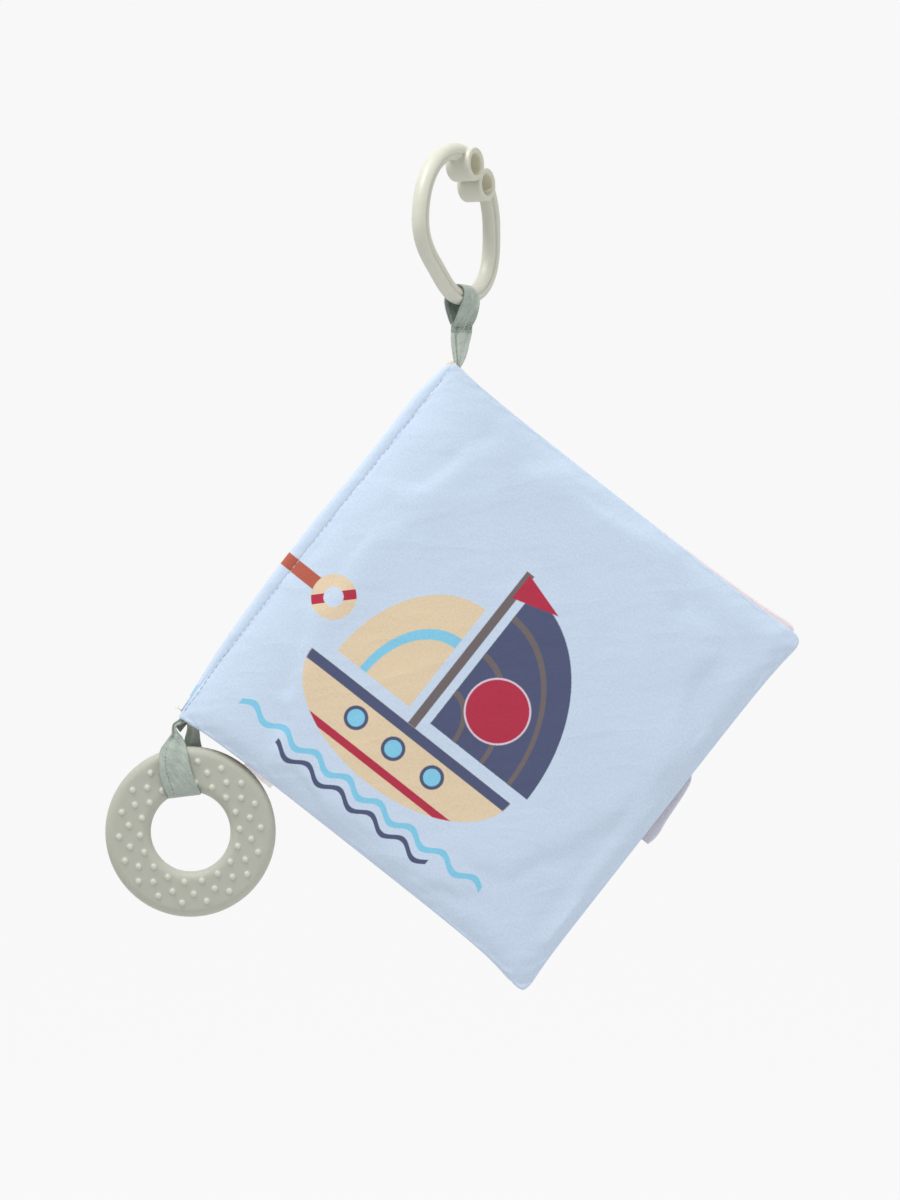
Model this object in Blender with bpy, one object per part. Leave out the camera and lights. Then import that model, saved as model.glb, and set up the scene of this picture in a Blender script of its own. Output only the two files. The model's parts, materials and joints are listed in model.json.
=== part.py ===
"""Crinkle cloth book that hangs from a plastic clip ring, with a silicone teething ring on a ribbon.

Metres, +Z up, -Y towards the viewer. The origin is the point inside the crown of the clip ring that
rests on whatever the toy hangs from. The book's own frame has x from the spine stitch to the fore
edge, y through the leaves and z up along the spine, with its origin at the top spine corner.
"""

import math

import bmesh
import bpy
from mathutils import Matrix, Vector

# Clearances
GAP = 0.0003  # between pieces that touch
CUT_OVERRUN = 0.001  # how far a cutter passes the face it opens
FIT_GAP = 0.0009  # between the ring's bar and the ribbon that hangs on it

# Clip ring
RING_RADIUS = 0.027  # centreline
RING_BAR_RADIUS = 0.0034
RING_TURN = math.radians(60.6)  # from +X to the ring's own horizontal, seen from above
RING_FLAT_ANGLE = math.radians(229)  # the lower bend that is nearly straight
RING_FLAT_SPREAD = math.radians(49)
RING_FLAT_SHARE = 0.155
RING_SWELL_ANGLE = math.radians(317)  # the fuller bend across from it
RING_SWELL_SPREAD = math.radians(45)
RING_SWELL_SHARE = 0.096
STRAP_SEAT_ANGLE = math.radians(277)  # the lowest point of the bar
BAR_STEPS = 48
BAR_SIDES = 12
BARREL_RADIUS = 0.0064
BARREL_BORE_RADIUS = 0.0040
BARREL_LENGTH = 0.0106
BARREL_FLOOR = 0.0016
BARREL_EDGE_RADIUS = 0.0012
BARREL_SIDES = 24
BARREL_SLIP = 0.0014  # how far the second barrel stands behind the first
BARREL_GAP = 0.0004
BAR_INTO_BARREL = 0.0016
BARREL_ANGLE = math.radians(72.2)

# Hang strap
STRAP_CLOTH = 0.0008  # folded ribbon
STRAP_WIDTH = 0.0076
STRAP_TAIL_WIDTH = 0.0054
STRAP_TACK_DROP = 0.0128  # from the bar's centre to the end of the bar tack
STRAP_TACK_LENGTH = 0.0023
STRAP_TAIL_LENGTH = 0.0122
STRAP_TAIL_TURN = math.radians(90)
STRAP_TAIL_PINCH_SHARE = 0.45
STRAP_TAIL_END = 0.0007  # the tail reaches this far below its bend
SWIVEL_RISE = 0.0013  # the tail's bend lies this far above the book's corner
STRAP_STEPS = 6

# Leaves
BOOK_TILT = math.radians(38.27)
BOOK_WIDTH = 0.1646
BOOK_HEIGHT = 0.1662
PANEL_CLOTH = 0.0007
LEAF_CROWN = 0.0045  # thickness of a leaf where it is full
LEAF_PITCH = 0.0048  # from one leaf's middle to the next where they are full
SPINE_PITCH = 0.0021  # the same at the spine stitch
CROWN_RUN = 0.018  # from a seam to where the leaf is full
EDGE_DRAW = 0.0008  # how far an edge is drawn in between its corners
CORNER_PULL = 0.0010
EAR_OUT = 0.0008  # how far the lower fore corner stands out past the fore edge
EAR_DOWN = 0.0019  # and below the bottom edge
EAR_SHARPNESS = 14
CORNER_ZONE_SHARE = 0.1
CORNER_SHARPNESS = 4
PAGE_FAN = 0.0013  # how far the page's fore corner stands above the covers
PAGE_FAN_POWER = 3
PAGE_SPINE_SET = 0.0016  # from the spine stitch to the page's fold
FILLING_INSET = 0.009
FILLING_GAP = 0.00035
WADDING_TOP_SHARE = 0.16
FILM_SEAT_SHARE = 0.46
FILM_THICKNESS = 0.0002
FILM_CRUMPLE_SHARE = 0.1
PANEL_LINES_SHARES = (0, 0.02, 0.055, 0.11, 0.2, 0.35, 0.5, 0.65, 0.8, 0.89, 0.945, 0.98, 1)
FILLING_LINES_SHARES = (0, 0.05, 0.14, 0.32, 0.5, 0.68, 0.86, 0.95, 1)

# Spine
SPINE_HALF = 0.0030  # half the book's thickness at the stitch
SPINE_BULGE = 0.0064
SPINE_CLOTH = 0.0008
SPINE_WADDING_SET = 0.0012
SPINE_WADDING_SHARE = 0.6  # the wadding's half thickness against the spine's
SPINE_ARC_STEPS = 8
HINGE_OUT = 0.0003  # the cover's fold lies this far outside the stitched cloth
SPINE_PROFILE_SHARES = (
    (0, 0.46), (0.03, 0.75), (0.08, 0.86), (0.2, 0.92), (0.42, 0.99), (0.6, 1), (0.7, 0.88),
    (0.8, 0.77), (0.9, 0.6), (0.96, 0.42), (1, 0.28),
)
SPINE_WADDING_FROM_SHARE = 0.05
SPINE_WADDING_TO_SHARE = 0.88

# Tab and label
TAB_TOP = 0.0644  # from the book's top edge
TAB_LENGTH = 0.0318
TAB_REACH = 0.0050
TAB_CLOTH = 0.0014
TAB_OUTLINE_SHARES = (
    (0, 0), (0, 0.1), (0.03, 0.3), (0.11, 0.48), (0.42, 0.73), (0.65, 0.84), (0.83, 1), (0.93, 0.95),
    (1, 0.85), (1, 0),
)
LABEL_FROM_SPINE = 0.0297
LABEL_WIDTH = 0.0134
LABEL_REACH = 0.0022
LABEL_CLOTH = 0.0005

# Teether
TEETHER_RADIUS = 0.032
TEETHER_HOLE_RADIUS = 0.015
TEETHER_THICKNESS = 0.0095
TEETHER_EDGE_RADIUS = 0.0036
TEETHER_STEPS = 48
TEETHER_EDGE_STEPS = 3
TEETHER_SEAM_GAP = 0.0007  # from its rim to the line of the book's bottom seam
TEETHER_SHIFT = 0.0030  # from under the book's lower spine corner towards the fore edge
DOME_RADIUS = 0.0011
DOME_SINK = 0.0003
DOME_SIDES = 6
DOME_ROW_SHARES = (0.218, 0.476, 0.682)  # of the way from the hole to the rim
DOME_COUNT = 18
DOME_START = math.radians(6.5)
DOME_ROW_TURN = math.radians(10)

# Teether strap
TEETHER_STRAP_CLOTH = 0.0008
TEETHER_STRAP_WIDTH = 0.0122
TEETHER_STRAP_ROOT_WIDTH = 0.0032
TEETHER_STRAP_TIP_WIDTH = 0.0012
TEETHER_STRAP_ROOT = 0.0039  # from the spine stitch along the bottom edge
TEETHER_STRAP_ROOT_DROP = 0.0016
TEETHER_STRAP_CLEARANCE = 0.0005  # over the domes
TEETHER_STRAP_RIM_GAP = 0.0003
TEETHER_STRAP_SWAY = 0.0046  # how far the ribbon swings left of its root on its way down
TEETHER_STRAP_SIDE = 0.0026  # from the teether's centre line to the middle of the ribbon's fold
TEETHER_STRAP_TURN = math.radians(9)  # tilt of the fold at the rim
TEETHER_STRAP_SPREAD_SHARE = 0.6  # of the drop, in which the ribbon opens to its full width
TEETHER_STRAP_PART_OVERRUN = 0.0023  # its plies are full apart this far below the rim's rounding
WRAP_STEPS = 6

# Colours, linear
CREAM = (0.60, 0.62, 0.52)
SAGE = (0.30, 0.40, 0.34)
SKY = (0.56, 0.67, 0.85)
PINK = (0.83, 0.60, 0.56)
BEIGE = (0.75, 0.62, 0.48)
LAVENDER = (0.52, 0.55, 0.75)
GREY_SAGE = (0.48, 0.49, 0.41)
WHITE = (0.85, 0.85, 0.85)
FILM = (0.75, 0.80, 0.85)

RING_CENTRE = Vector((0, 0, RING_BAR_RADIUS - RING_RADIUS))
RING_ACROSS = Vector((math.cos(RING_TURN), math.sin(RING_TURN), 0))
RING_NORMAL = Vector((math.sin(RING_TURN), -math.cos(RING_TURN), 0))
UP = Vector((0, 0, 1))
ALONG_X = Vector((1, 0, 0))
FACE_Y = Vector((0, -1, 0))
SEAM_HALF = PANEL_CLOTH + GAP / 2
CROWN_HALF = LEAF_CROWN / 2
HINGE_Y = SPINE_HALF + HINGE_OUT


# Scene and objects
def clear_scene():
    for obj in list(bpy.data.objects):
        bpy.data.objects.remove(obj)


def material(name, colour, roughness):
    made = bpy.data.materials.new(name)
    made.use_nodes = True
    shader = made.node_tree.nodes["Principled BSDF"]
    shader.inputs["Base Color"].default_value = (*colour, 1)
    shader.inputs["Roughness"].default_value = roughness
    shader.inputs["Metallic"].default_value = 0
    return made


def empty(name, parent, place):
    made = bpy.data.objects.new(name, None)
    bpy.context.scene.collection.objects.link(made)
    made.parent = parent
    made.matrix_local = place
    return made


def new_object(name, bm, parent, surface):
    """An object from a bmesh given in its parent's frame, with its origin on the parent's."""
    bmesh.ops.recalc_face_normals(bm, faces=bm.faces)
    mesh = bpy.data.meshes.new(name)
    bm.to_mesh(mesh)
    bm.free()
    mesh.materials.append(surface)
    mesh.shade_smooth()
    mesh.set_sharp_from_angle(angle=math.radians(40))
    made = bpy.data.objects.new(name, mesh)
    bpy.context.scene.collection.objects.link(made)
    made.parent = parent
    return made


def loft(rings, closed=False):
    """A skin over a row of point rings, capped at both ends, or joined end to end when closed."""
    bm = bmesh.new()
    rows = [[bm.verts.new(point) for point in ring] for ring in rings]
    pairs = list(zip(rows, rows[1:]))
    if closed:
        pairs.append((rows[-1], rows[0]))
    else:
        bm.faces.new(rows[0][::-1])
        bm.faces.new(rows[-1])
    for near, far in pairs:
        for i in range(len(near)):
            j = (i + 1) % len(near)
            bm.faces.new((near[i], near[j], far[j], far[i]))
    return bm


def helper(obj):
    obj.hide_render = True
    obj.display_type = "WIRE"
    return obj


def boolean(obj, operation, other):
    step = obj.modifiers.new(operation.title() + " " + other.name, "BOOLEAN")
    step.operation = operation
    step.object = helper(other)


def arc(centre, radius, start, end, steps):
    """Points (x, y) round part of a circle."""
    turns = [start + (end - start) * i / steps for i in range(steps + 1)]
    return [(centre[0] + radius * math.cos(t), centre[1] + radius * math.sin(t)) for t in turns]


def ease(share):
    """0 to 1 with level ends."""
    return share * share * (3 - 2 * share)


def table(rows, share):
    """The value at a share along a table of (share, value) rows."""
    for (a, low), (b, high) in zip(rows, rows[1:]):
        if share <= b:
            return low + (high - low) * (share - a) / (b - a)
    return rows[-1][1]


# Clip ring
def bump(angle, middle, spread):
    away = min(1, abs(angle - middle) / spread)
    return (1 + math.cos(math.pi * away)) / 2


def ring_reach(angle):
    """The centreline's distance from the ring's centre: a circle, flattened on one side below."""
    turn = angle % (2 * math.pi)
    share = 1 - RING_FLAT_SHARE * bump(turn, RING_FLAT_ANGLE, RING_FLAT_SPREAD)
    share += RING_SWELL_SHARE * bump(turn, RING_SWELL_ANGLE, RING_SWELL_SPREAD)
    return RING_RADIUS * share


def ring_point(angle):
    reach = ring_reach(angle)
    return RING_CENTRE + RING_ACROSS * (reach * math.cos(angle)) + UP * (reach * math.sin(angle))


def barrel_places():
    """Centre angle and centre of each barrel. Their outer sides lie under the bar's outer circle."""
    reach = RING_RADIUS + RING_BAR_RADIUS - BARREL_RADIUS - BARREL_GAP
    apart = 2 * math.asin((2 * BARREL_RADIUS + BARREL_GAP) / (2 * reach))
    places = []
    for angle, slip in ((BARREL_ANGLE, 0), (BARREL_ANGLE - apart, BARREL_SLIP)):
        across = RING_ACROSS * (reach * math.cos(angle)) + UP * (reach * math.sin(angle))
        places.append((angle, RING_CENTRE + across - RING_NORMAL * slip))
    # The bar runs round to where its centreline is this far inside each barrel's wall
    meet = BARREL_RADIUS - BAR_INTO_BARREL
    swing = math.acos((RING_RADIUS**2 + reach**2 - meet**2) / (2 * RING_RADIUS * reach))
    return places, swing


def turned(profile, centre, axis, sides, closed=False):
    """A turned solid: (radius, height along the axis) points swept round the axis."""
    side = axis.orthogonal().normalized()
    front = axis.cross(side)
    rings = []
    for i in range(sides):
        turn = 2 * math.pi * i / sides
        out = side * math.cos(turn) + front * math.sin(turn)
        rings.append([centre + out * r + axis * h for r, h in profile])
    if closed:
        return loft(rings, closed=True)
    return loft([list(ring) for ring in zip(*rings)])


def barrel_profile():
    top = BARREL_LENGTH / 2
    round_at = BARREL_RADIUS - BARREL_EDGE_RADIUS
    low = arc((round_at, BARREL_EDGE_RADIUS - top), BARREL_EDGE_RADIUS, -math.pi / 2, 0, 3)
    high = arc((round_at, top - BARREL_EDGE_RADIUS), BARREL_EDGE_RADIUS, 0, math.pi / 2, 3)
    return low + high


def make_ring(surface):
    places, swing = barrel_places()
    start = places[0][0] + swing
    end = places[1][0] - swing + 2 * math.pi
    angles = [start + (end - start) * i / BAR_STEPS for i in range(BAR_STEPS + 1)]
    step = (end - start) / BAR_STEPS
    rings = []
    for angle in angles:
        along = (ring_point(angle + step / 2) - ring_point(angle - step / 2)).normalized()
        inward = RING_NORMAL.cross(along)
        ring = []
        for i in range(BAR_SIDES):
            turn = 2 * math.pi * i / BAR_SIDES
            out = RING_NORMAL * math.cos(turn) + inward * math.sin(turn)
            ring.append(ring_point(angle) + out * RING_BAR_RADIUS)
        rings.append(ring)
    ring = new_object("hang_ring", loft(rings), None, surface)
    for i, (_, centre) in enumerate(places):
        body = turned(barrel_profile(), centre, RING_NORMAL, BARREL_SIDES)
        boolean(ring, "UNION", new_object(f"barrel_body_{i}", body, None, surface))
    depth = BARREL_FLOOR - BARREL_LENGTH / 2
    mouth = BARREL_LENGTH / 2 + CUT_OVERRUN
    for i, (_, centre) in enumerate(places):
        profile = [(BARREL_BORE_RADIUS, depth), (BARREL_BORE_RADIUS, mouth)]
        bore = turned(profile, centre, RING_NORMAL, BARREL_SIDES)
        boolean(ring, "DIFFERENCE", new_object(f"barrel_bore_{i}", bore, None, surface))
    return ring


# Ribbons
def ribbon_ring(centre, across, through, width, cloth):
    """The four corners of a ribbon's section."""
    a = across * (width / 2)
    b = through * (cloth / 2)
    return [centre - a - b, centre + a - b, centre + a + b, centre - a + b]


def turn_flat(vector, other, share):
    """A level direction turned from one to another."""
    start = math.atan2(vector.y, vector.x)
    end = math.atan2(other.y, other.x)
    angle = start + (end - start) * share
    return Vector((math.cos(angle), math.sin(angle), 0))


def strap_seat():
    return ring_point(STRAP_SEAT_ANGLE)


def tack_end():
    return strap_seat() - UP * STRAP_TACK_DROP


def make_strap_loop(parent, surface):
    """The ribbon over the bar: up one leg, over, and down the other to the bar tack."""
    seat = strap_seat()
    reach = RING_BAR_RADIUS + FIT_GAP + STRAP_CLOTH / 2
    leg = STRAP_TACK_DROP - STRAP_TACK_LENGTH
    tack_half = (STRAP_CLOTH + GAP) / 2
    legs = []
    for i in range(STRAP_STEPS + 1):
        share = i / STRAP_STEPS
        half = reach + (tack_half - reach) * ease(share)
        legs.append((half, leg * share, ease(share)))
    legs.append((tack_half, STRAP_TACK_DROP, 1))
    rings = []
    for side, run in ((1, legs[::-1]), (-1, legs[1:])):
        for half, drop, share in run:
            out = turn_flat(RING_NORMAL, FACE_Y, share) * side
            across = turn_flat(RING_ACROSS, ALONG_X, share)
            centre = seat + out * half - UP * drop
            rings.append(ribbon_ring(centre, across, out, STRAP_WIDTH, STRAP_CLOTH))
        if side == 1:
            for x, z in arc((0, 0), reach, 0, math.pi, 8)[1:]:
                out = (RING_NORMAL * x + UP * z).normalized()
                rings.append(
                    ribbon_ring(seat + out * reach, RING_ACROSS, out, STRAP_WIDTH, STRAP_CLOTH)
                )
    return new_object("hang_strap_loop", shifted(loft(rings), seat), parent, surface)


def make_strap_tail(parent, surface):
    """Both plies below the tack, turning to enter the corner edge on."""
    top = tack_end() - UP * GAP
    corner = swivel_point() - UP * STRAP_TAIL_END
    plies = 2 * STRAP_CLOTH + GAP
    rings = []
    for i in range(STRAP_STEPS + 1):
        share = i / STRAP_STEPS
        turn = STRAP_TAIL_TURN * ease(share)
        across = Vector((math.cos(turn), math.sin(turn), 0))
        through = Vector((-math.sin(turn), math.cos(turn), 0))
        width = STRAP_WIDTH + (STRAP_TAIL_WIDTH - STRAP_WIDTH) * share
        cloth = plies * (1 - STRAP_TAIL_PINCH_SHARE * share * share)
        rings.append(ribbon_ring(top.lerp(corner, share), across, through, width, cloth))
    return new_object("hang_strap_tail", shifted(loft(rings), strap_seat()), parent, surface)


# Book frame
def book_corner():
    """The book's top spine corner, straight under the tail of the strap."""
    seat = strap_seat()
    drop = STRAP_TACK_DROP + GAP + STRAP_TAIL_LENGTH + SWIVEL_RISE
    return Vector((0, seat.y, seat.z - drop))


def swivel_point():
    return book_corner() + UP * SWIVEL_RISE


def book_matrix():
    return Matrix.Translation(book_corner()) @ Matrix.Rotation(BOOK_TILT, 4, "Y")


def shifted(bm, origin):
    """Points moved into the frame of an empty that stands at this origin."""
    bmesh.ops.translate(bm, verts=bm.verts, vec=-origin)
    return bm


# Leaves
def rise(distance):
    """How full a leaf is at a distance from a seam, 0 to 1."""
    return math.sin(math.pi / 2 * min(1, distance / CROWN_RUN))


def outline_point(leaf, s, t):
    """Where share s across and t down a leaf lies in the book's x and z."""
    corner_s = max(0, (s - 1 + CORNER_ZONE_SHARE) / CORNER_ZONE_SHARE)
    corner_t = max(0, (abs(2 * t - 1) - 1 + 2 * CORNER_ZONE_SHARE) / (2 * CORNER_ZONE_SHARE))
    pull = CORNER_PULL * (corner_s * corner_t) ** CORNER_SHARPNESS
    ear = (s * t) ** EAR_SHARPNESS
    width = BOOK_WIDTH - leaf["start"]
    x = leaf["start"] + s * (width - EDGE_DRAW * 4 * t * (1 - t)) - pull + EAR_OUT * ear
    z = -t * BOOK_HEIGHT - EDGE_DRAW * 4 * s * (1 - s) * (1 - 2 * t)
    z += math.copysign(pull, t - 0.5) - EAR_DOWN * ear
    z += leaf["fan"] * s**PAGE_FAN_POWER * (1 - t)
    return x, z


def leaf_point(leaf, s, t, offset):
    """A point of a leaf, its offset from the leaf's middle given by how full the leaf is there."""
    x, z = outline_point(leaf, s, t)
    across = rise(s * BOOK_WIDTH)
    full = across * rise((1 - s) * BOOK_WIDTH) * rise(min(t, 1 - t) * BOOK_HEIGHT)
    middle = leaf["side"] * (SPINE_PITCH + (LEAF_PITCH - SPINE_PITCH) * across)
    return Vector((x, middle + offset(full, s, t), z))


def layer(leaf, near, far, lines, inset=0):
    """A closed sheet of a leaf between two offsets, inset from its seams."""
    low_s, low_t = inset / BOOK_WIDTH, inset / BOOK_HEIGHT
    bm = bmesh.new()
    sheets = []
    for offset in (near, far):
        rows = []
        for t in lines:
            down = low_t + t * (1 - 2 * low_t)
            spots = [low_s + s * (1 - 2 * low_s) for s in lines]
            rows.append([bm.verts.new(leaf_point(leaf, s, down, offset)) for s in spots])
        sheets.append(rows)
    last = len(lines) - 1
    for rows, flip in zip(sheets, (1, -1)):
        for j in range(last):
            for i in range(last):
                quad = (rows[j][i], rows[j][i + 1], rows[j + 1][i + 1], rows[j + 1][i])
                bm.faces.new(quad[::flip])
    rim = [(0, i) for i in range(last)] + [(j, last) for j in range(last)]
    rim += [(last, i) for i in range(last, 0, -1)] + [(j, 0) for j in range(last, 0, -1)]
    for (j, i), (l, k) in zip(rim, rim[1:] + rim[:1]):
        a, b = sheets
        bm.faces.new((b[j][i], b[l][k], a[l][k], a[j][i]))
    return bm


def face_offset(full):
    return SEAM_HALF + (CROWN_HALF - SEAM_HALF) * full


def inner_offset(full):
    return face_offset(full) - PANEL_CLOTH


def panel_offsets(face):
    """Near and far offsets of the panel on one face of a leaf: -1 faces the viewer."""
    def outer(full, s, t):
        return face * face_offset(full)

    def inner(full, s, t):
        return face * inner_offset(full)

    return outer, inner


def filling_offsets(face):
    """Offsets of the wadding and the crinkle film. The film lies behind the panel on `face`."""
    def crumple(s, t):
        return FILM_CRUMPLE_SHARE * math.sin(5 * math.pi * s + 2 * t) * math.cos(4 * math.pi * t)

    def wadding_outer(full, s, t):
        return -face * (inner_offset(full) - FILLING_GAP * full ** 0.5)

    def wadding_inner(full, s, t):
        return face * WADDING_TOP_SHARE * inner_offset(full)

    def film_inner(full, s, t):
        return face * (FILM_SEAT_SHARE + crumple(s, t)) * inner_offset(full)

    def film_outer(full, s, t):
        return film_inner(full, s, t) + face * FILM_THICKNESS

    return (wadding_outer, wadding_inner), (film_inner, film_outer)


def make_leaf(label, names, leaf, parent, origin, surfaces):
    """Two panels, wadding and crinkle film of one leaf."""
    made = {}
    for face, name, surface in zip((-1, 1), names, surfaces):
        bm = layer(leaf, *panel_offsets(face), PANEL_LINES_SHARES)
        made[name] = new_object(name, shifted(bm, origin), parent, surface)
    wadding, film = filling_offsets(leaf["film_face"])
    for name, offsets in ((f"{label}_wadding", wadding), (f"{label}_crinkle_film", film)):
        bm = layer(leaf, *offsets, FILLING_LINES_SHARES, FILLING_INSET)
        made[name] = new_object(name, shifted(bm, origin), parent, SURFACES[name.split("_")[-1]])
    return made


# Spine
def spine_depth(t):
    return SPINE_BULGE * table(SPINE_PROFILE_SHARES, t)


def half_ellipse(depth, half, start):
    """Points (x, y) from the front edge round the back of the spine to the rear edge."""
    steps = [math.pi * i / SPINE_ARC_STEPS - math.pi / 2 for i in range(SPINE_ARC_STEPS + 1)]
    return [(start - depth * math.cos(a), half * math.sin(a)) for a in steps]


def make_spine(parent, fabric, wadding):
    edge = -GAP / 2
    rings = []
    for t, _ in SPINE_PROFILE_SHARES:
        depth = spine_depth(t)
        outer = half_ellipse(depth, SPINE_HALF, edge)
        inner = half_ellipse(depth - SPINE_CLOTH, SPINE_HALF - SPINE_CLOTH, edge)
        rings.append([Vector((x, y, -t * BOOK_HEIGHT)) for x, y in outer + inner[::-1]])
    new_object("spine_fabric", loft(rings), parent, fabric)
    rings = []
    for t, _ in SPINE_PROFILE_SHARES:
        if SPINE_WADDING_FROM_SHARE <= t <= SPINE_WADDING_TO_SHARE:
            depth = spine_depth(t) - SPINE_CLOTH - GAP - SPINE_WADDING_SET
            points = half_ellipse(depth, SPINE_HALF * SPINE_WADDING_SHARE, -SPINE_WADDING_SET)
            rings.append([Vector((x, y, -t * BOOK_HEIGHT)) for x, y in points])
    new_object("spine_wadding", loft(rings), parent, wadding)


# Tab and label
def plate(points, middle, cloth):
    """A flat piece of cloth from (x, z) points."""
    return loft([[Vector((x, middle + y, z)) for x, z in points] for y in (-cloth / 2, cloth / 2)])


def make_tab(leaf, parent, origin, surface):
    points = []
    for along, out in TAB_OUTLINE_SHARES:
        down = TAB_TOP + along * TAB_LENGTH
        edge, _ = outline_point(leaf, 1, down / BOOK_HEIGHT)
        points.append((edge + GAP + out * TAB_REACH, -down))
    bm = plate(points, 0, TAB_CLOTH)
    new_object("fore_edge_tab", shifted(bm, origin), parent, surface)


def make_label(leaf, parent, origin, surface):
    middle = leaf["side"] * LEAF_PITCH
    ends = (LABEL_FROM_SPINE, LABEL_FROM_SPINE + LABEL_WIDTH)
    tops = [outline_point(leaf, x / BOOK_WIDTH, 1)[1] - GAP for x in ends]
    points = [(ends[0], tops[0]), (ends[1], tops[1])]
    points += [(ends[1], tops[1] - LABEL_REACH), (ends[0], tops[0] - LABEL_REACH)]
    new_object("care_label", shifted(plate(points, middle, LABEL_CLOTH), origin), parent, surface)


# Teether
def lower_corner():
    return book_matrix() @ Vector((0, 0, -BOOK_HEIGHT))


def teether_centre():
    """As high as lets the teether's rim hang clear of the book's bottom seam."""
    across = TEETHER_SHIFT * math.sin(BOOK_TILT)
    drop = (TEETHER_RADIUS + TEETHER_SEAM_GAP + across) / math.cos(BOOK_TILT)
    return lower_corner() + Vector((TEETHER_SHIFT, 0, -drop))


def teether_profile():
    """The moulding's section as (radius, height) points, rounded at its four corners."""
    half = TEETHER_THICKNESS / 2 - TEETHER_EDGE_RADIUS
    inner = TEETHER_HOLE_RADIUS + TEETHER_EDGE_RADIUS
    outer = TEETHER_RADIUS - TEETHER_EDGE_RADIUS
    points = []
    for x, y, start in (
        (outer, -half, -math.pi / 2), (outer, half, 0), (inner, half, math.pi / 2), (inner, -half, math.pi),
    ):
        points += arc((x, y), TEETHER_EDGE_RADIUS, start, start + math.pi / 2, TEETHER_EDGE_STEPS)
    return points


def dome(centre, out):
    """One moulded dome, sunk a little into the face it stands on."""
    profile = [(DOME_RADIUS, -DOME_SINK)]
    profile += arc((0, 0), DOME_RADIUS, math.radians(25), math.radians(68), 1)
    return turned(profile, centre, out, DOME_SIDES)


def make_domes(surface):
    """All domes of both faces as one helper mesh."""
    whole = bmesh.new()
    scratch = bpy.data.meshes.new("dome")
    for side in (-1, 1):
        out = Vector((0, side, 0))
        for row, share in enumerate(DOME_ROW_SHARES):
            radius = TEETHER_HOLE_RADIUS + (TEETHER_RADIUS - TEETHER_HOLE_RADIUS) * share
            for i in range(DOME_COUNT):
                turn = DOME_START + DOME_ROW_TURN * (row % 2) + 2 * math.pi * i / DOME_COUNT
                spot = Vector((math.sin(turn), 0, math.cos(turn))) * radius
                one = dome(spot + out * (TEETHER_THICKNESS / 2), out)
                one.to_mesh(scratch)
                one.free()
                whole.from_mesh(scratch)
    bpy.data.meshes.remove(scratch)
    return new_object("teether_domes", whole, None, surface)


def make_teether(parent, surface):
    body = turned(teether_profile(), Vector((0, 0, 0)), Vector((0, 1, 0)), TEETHER_STEPS, closed=True)
    ring = new_object("teether_ring", body, parent, surface)
    domes = make_domes(surface)
    domes.parent = parent
    boolean(ring, "UNION", domes)
    return ring


def strap_pivot():
    """Where the teether's ribbon bends below the book's bottom seam."""
    drop = BOOK_HEIGHT + TEETHER_STRAP_ROOT_DROP
    return book_matrix() @ Vector((TEETHER_STRAP_ROOT, 0, -drop))


def strap_stations():
    """The ribbon's front ply from the seam down to the rim: place, ply's distance from the middle
    plane, direction across and width."""
    root, centre = strap_pivot(), teether_centre()
    half = TEETHER_STRAP_WIDTH / 2
    rim = math.sqrt(TEETHER_HOLE_RADIUS**2 - (TEETHER_STRAP_SIDE + half) ** 2)
    drop = rim + half * math.sin(TEETHER_STRAP_TURN) - TEETHER_STRAP_RIM_GAP
    fold = centre + Vector((-TEETHER_STRAP_SIDE, 0, drop))
    bottom = Vector((math.cos(TEETHER_STRAP_TURN), 0, math.sin(TEETHER_STRAP_TURN)))
    top = Vector((math.cos(BOOK_TILT), 0, -math.sin(BOOK_TILT)))
    seam = root + Vector((math.sin(BOOK_TILT), 0, math.cos(BOOK_TILT))) * (TEETHER_STRAP_ROOT_DROP - GAP)
    to_rim = root.z - centre.z - TEETHER_RADIUS
    part_run = to_rim + TEETHER_EDGE_RADIUS + TEETHER_STRAP_PART_OVERRUN
    stations = [(seam, TEETHER_STRAP_CLOTH, top, TEETHER_STRAP_TIP_WIDTH)]
    for i in range(STRAP_STEPS + 1):
        share = i / STRAP_STEPS
        place = root.lerp(fold, share)
        place.x -= TEETHER_STRAP_SWAY * math.sin(math.pi * share)
        parted = ease(min(1, (root.z - place.z) / part_run))
        reach = TEETHER_STRAP_CLOTH + (strap_face() - TEETHER_STRAP_CLOTH) * parted
        spread = ease(min(1, share / TEETHER_STRAP_SPREAD_SHARE))
        width = TEETHER_STRAP_ROOT_WIDTH + (TEETHER_STRAP_WIDTH - TEETHER_STRAP_ROOT_WIDTH) * spread
        stations.append((place, reach, top.lerp(bottom, share).normalized(), width))
    return stations


def strap_face():
    """How far the middle of a ply stands from the teether's middle plane."""
    return TEETHER_THICKNESS / 2 + DOME_RADIUS + TEETHER_STRAP_CLEARANCE + TEETHER_STRAP_CLOTH / 2


def make_teether_strap(parent, surface):
    """The ribbon from the seam over the teether's face, through its hole and back up behind."""
    stations = strap_stations()
    fold, face, bottom, _ = stations[-1]
    sag = TEETHER_STRAP_CLOTH / 2 + TEETHER_STRAP_RIM_GAP
    rings = []
    for place, reach, across, width in stations:
        rings.append(ribbon_ring(place + FACE_Y * reach, across, FACE_Y, width, TEETHER_STRAP_CLOTH))
    for y, z in arc((0, 0), 1, math.pi, 2 * math.pi, WRAP_STEPS)[1:-1]:
        normal = Vector((0, y * sag, z * face)).normalized()
        place = fold + Vector((0, y * face, z * sag))
        rings.append(ribbon_ring(place, bottom, normal, TEETHER_STRAP_WIDTH, TEETHER_STRAP_CLOTH))
    for place, reach, across, width in stations[::-1]:
        rings.append(ribbon_ring(place - FACE_Y * reach, across, -FACE_Y, width, TEETHER_STRAP_CLOTH))
    return new_object("teether_strap", shifted(loft(rings), strap_pivot()), parent, surface)


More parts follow.
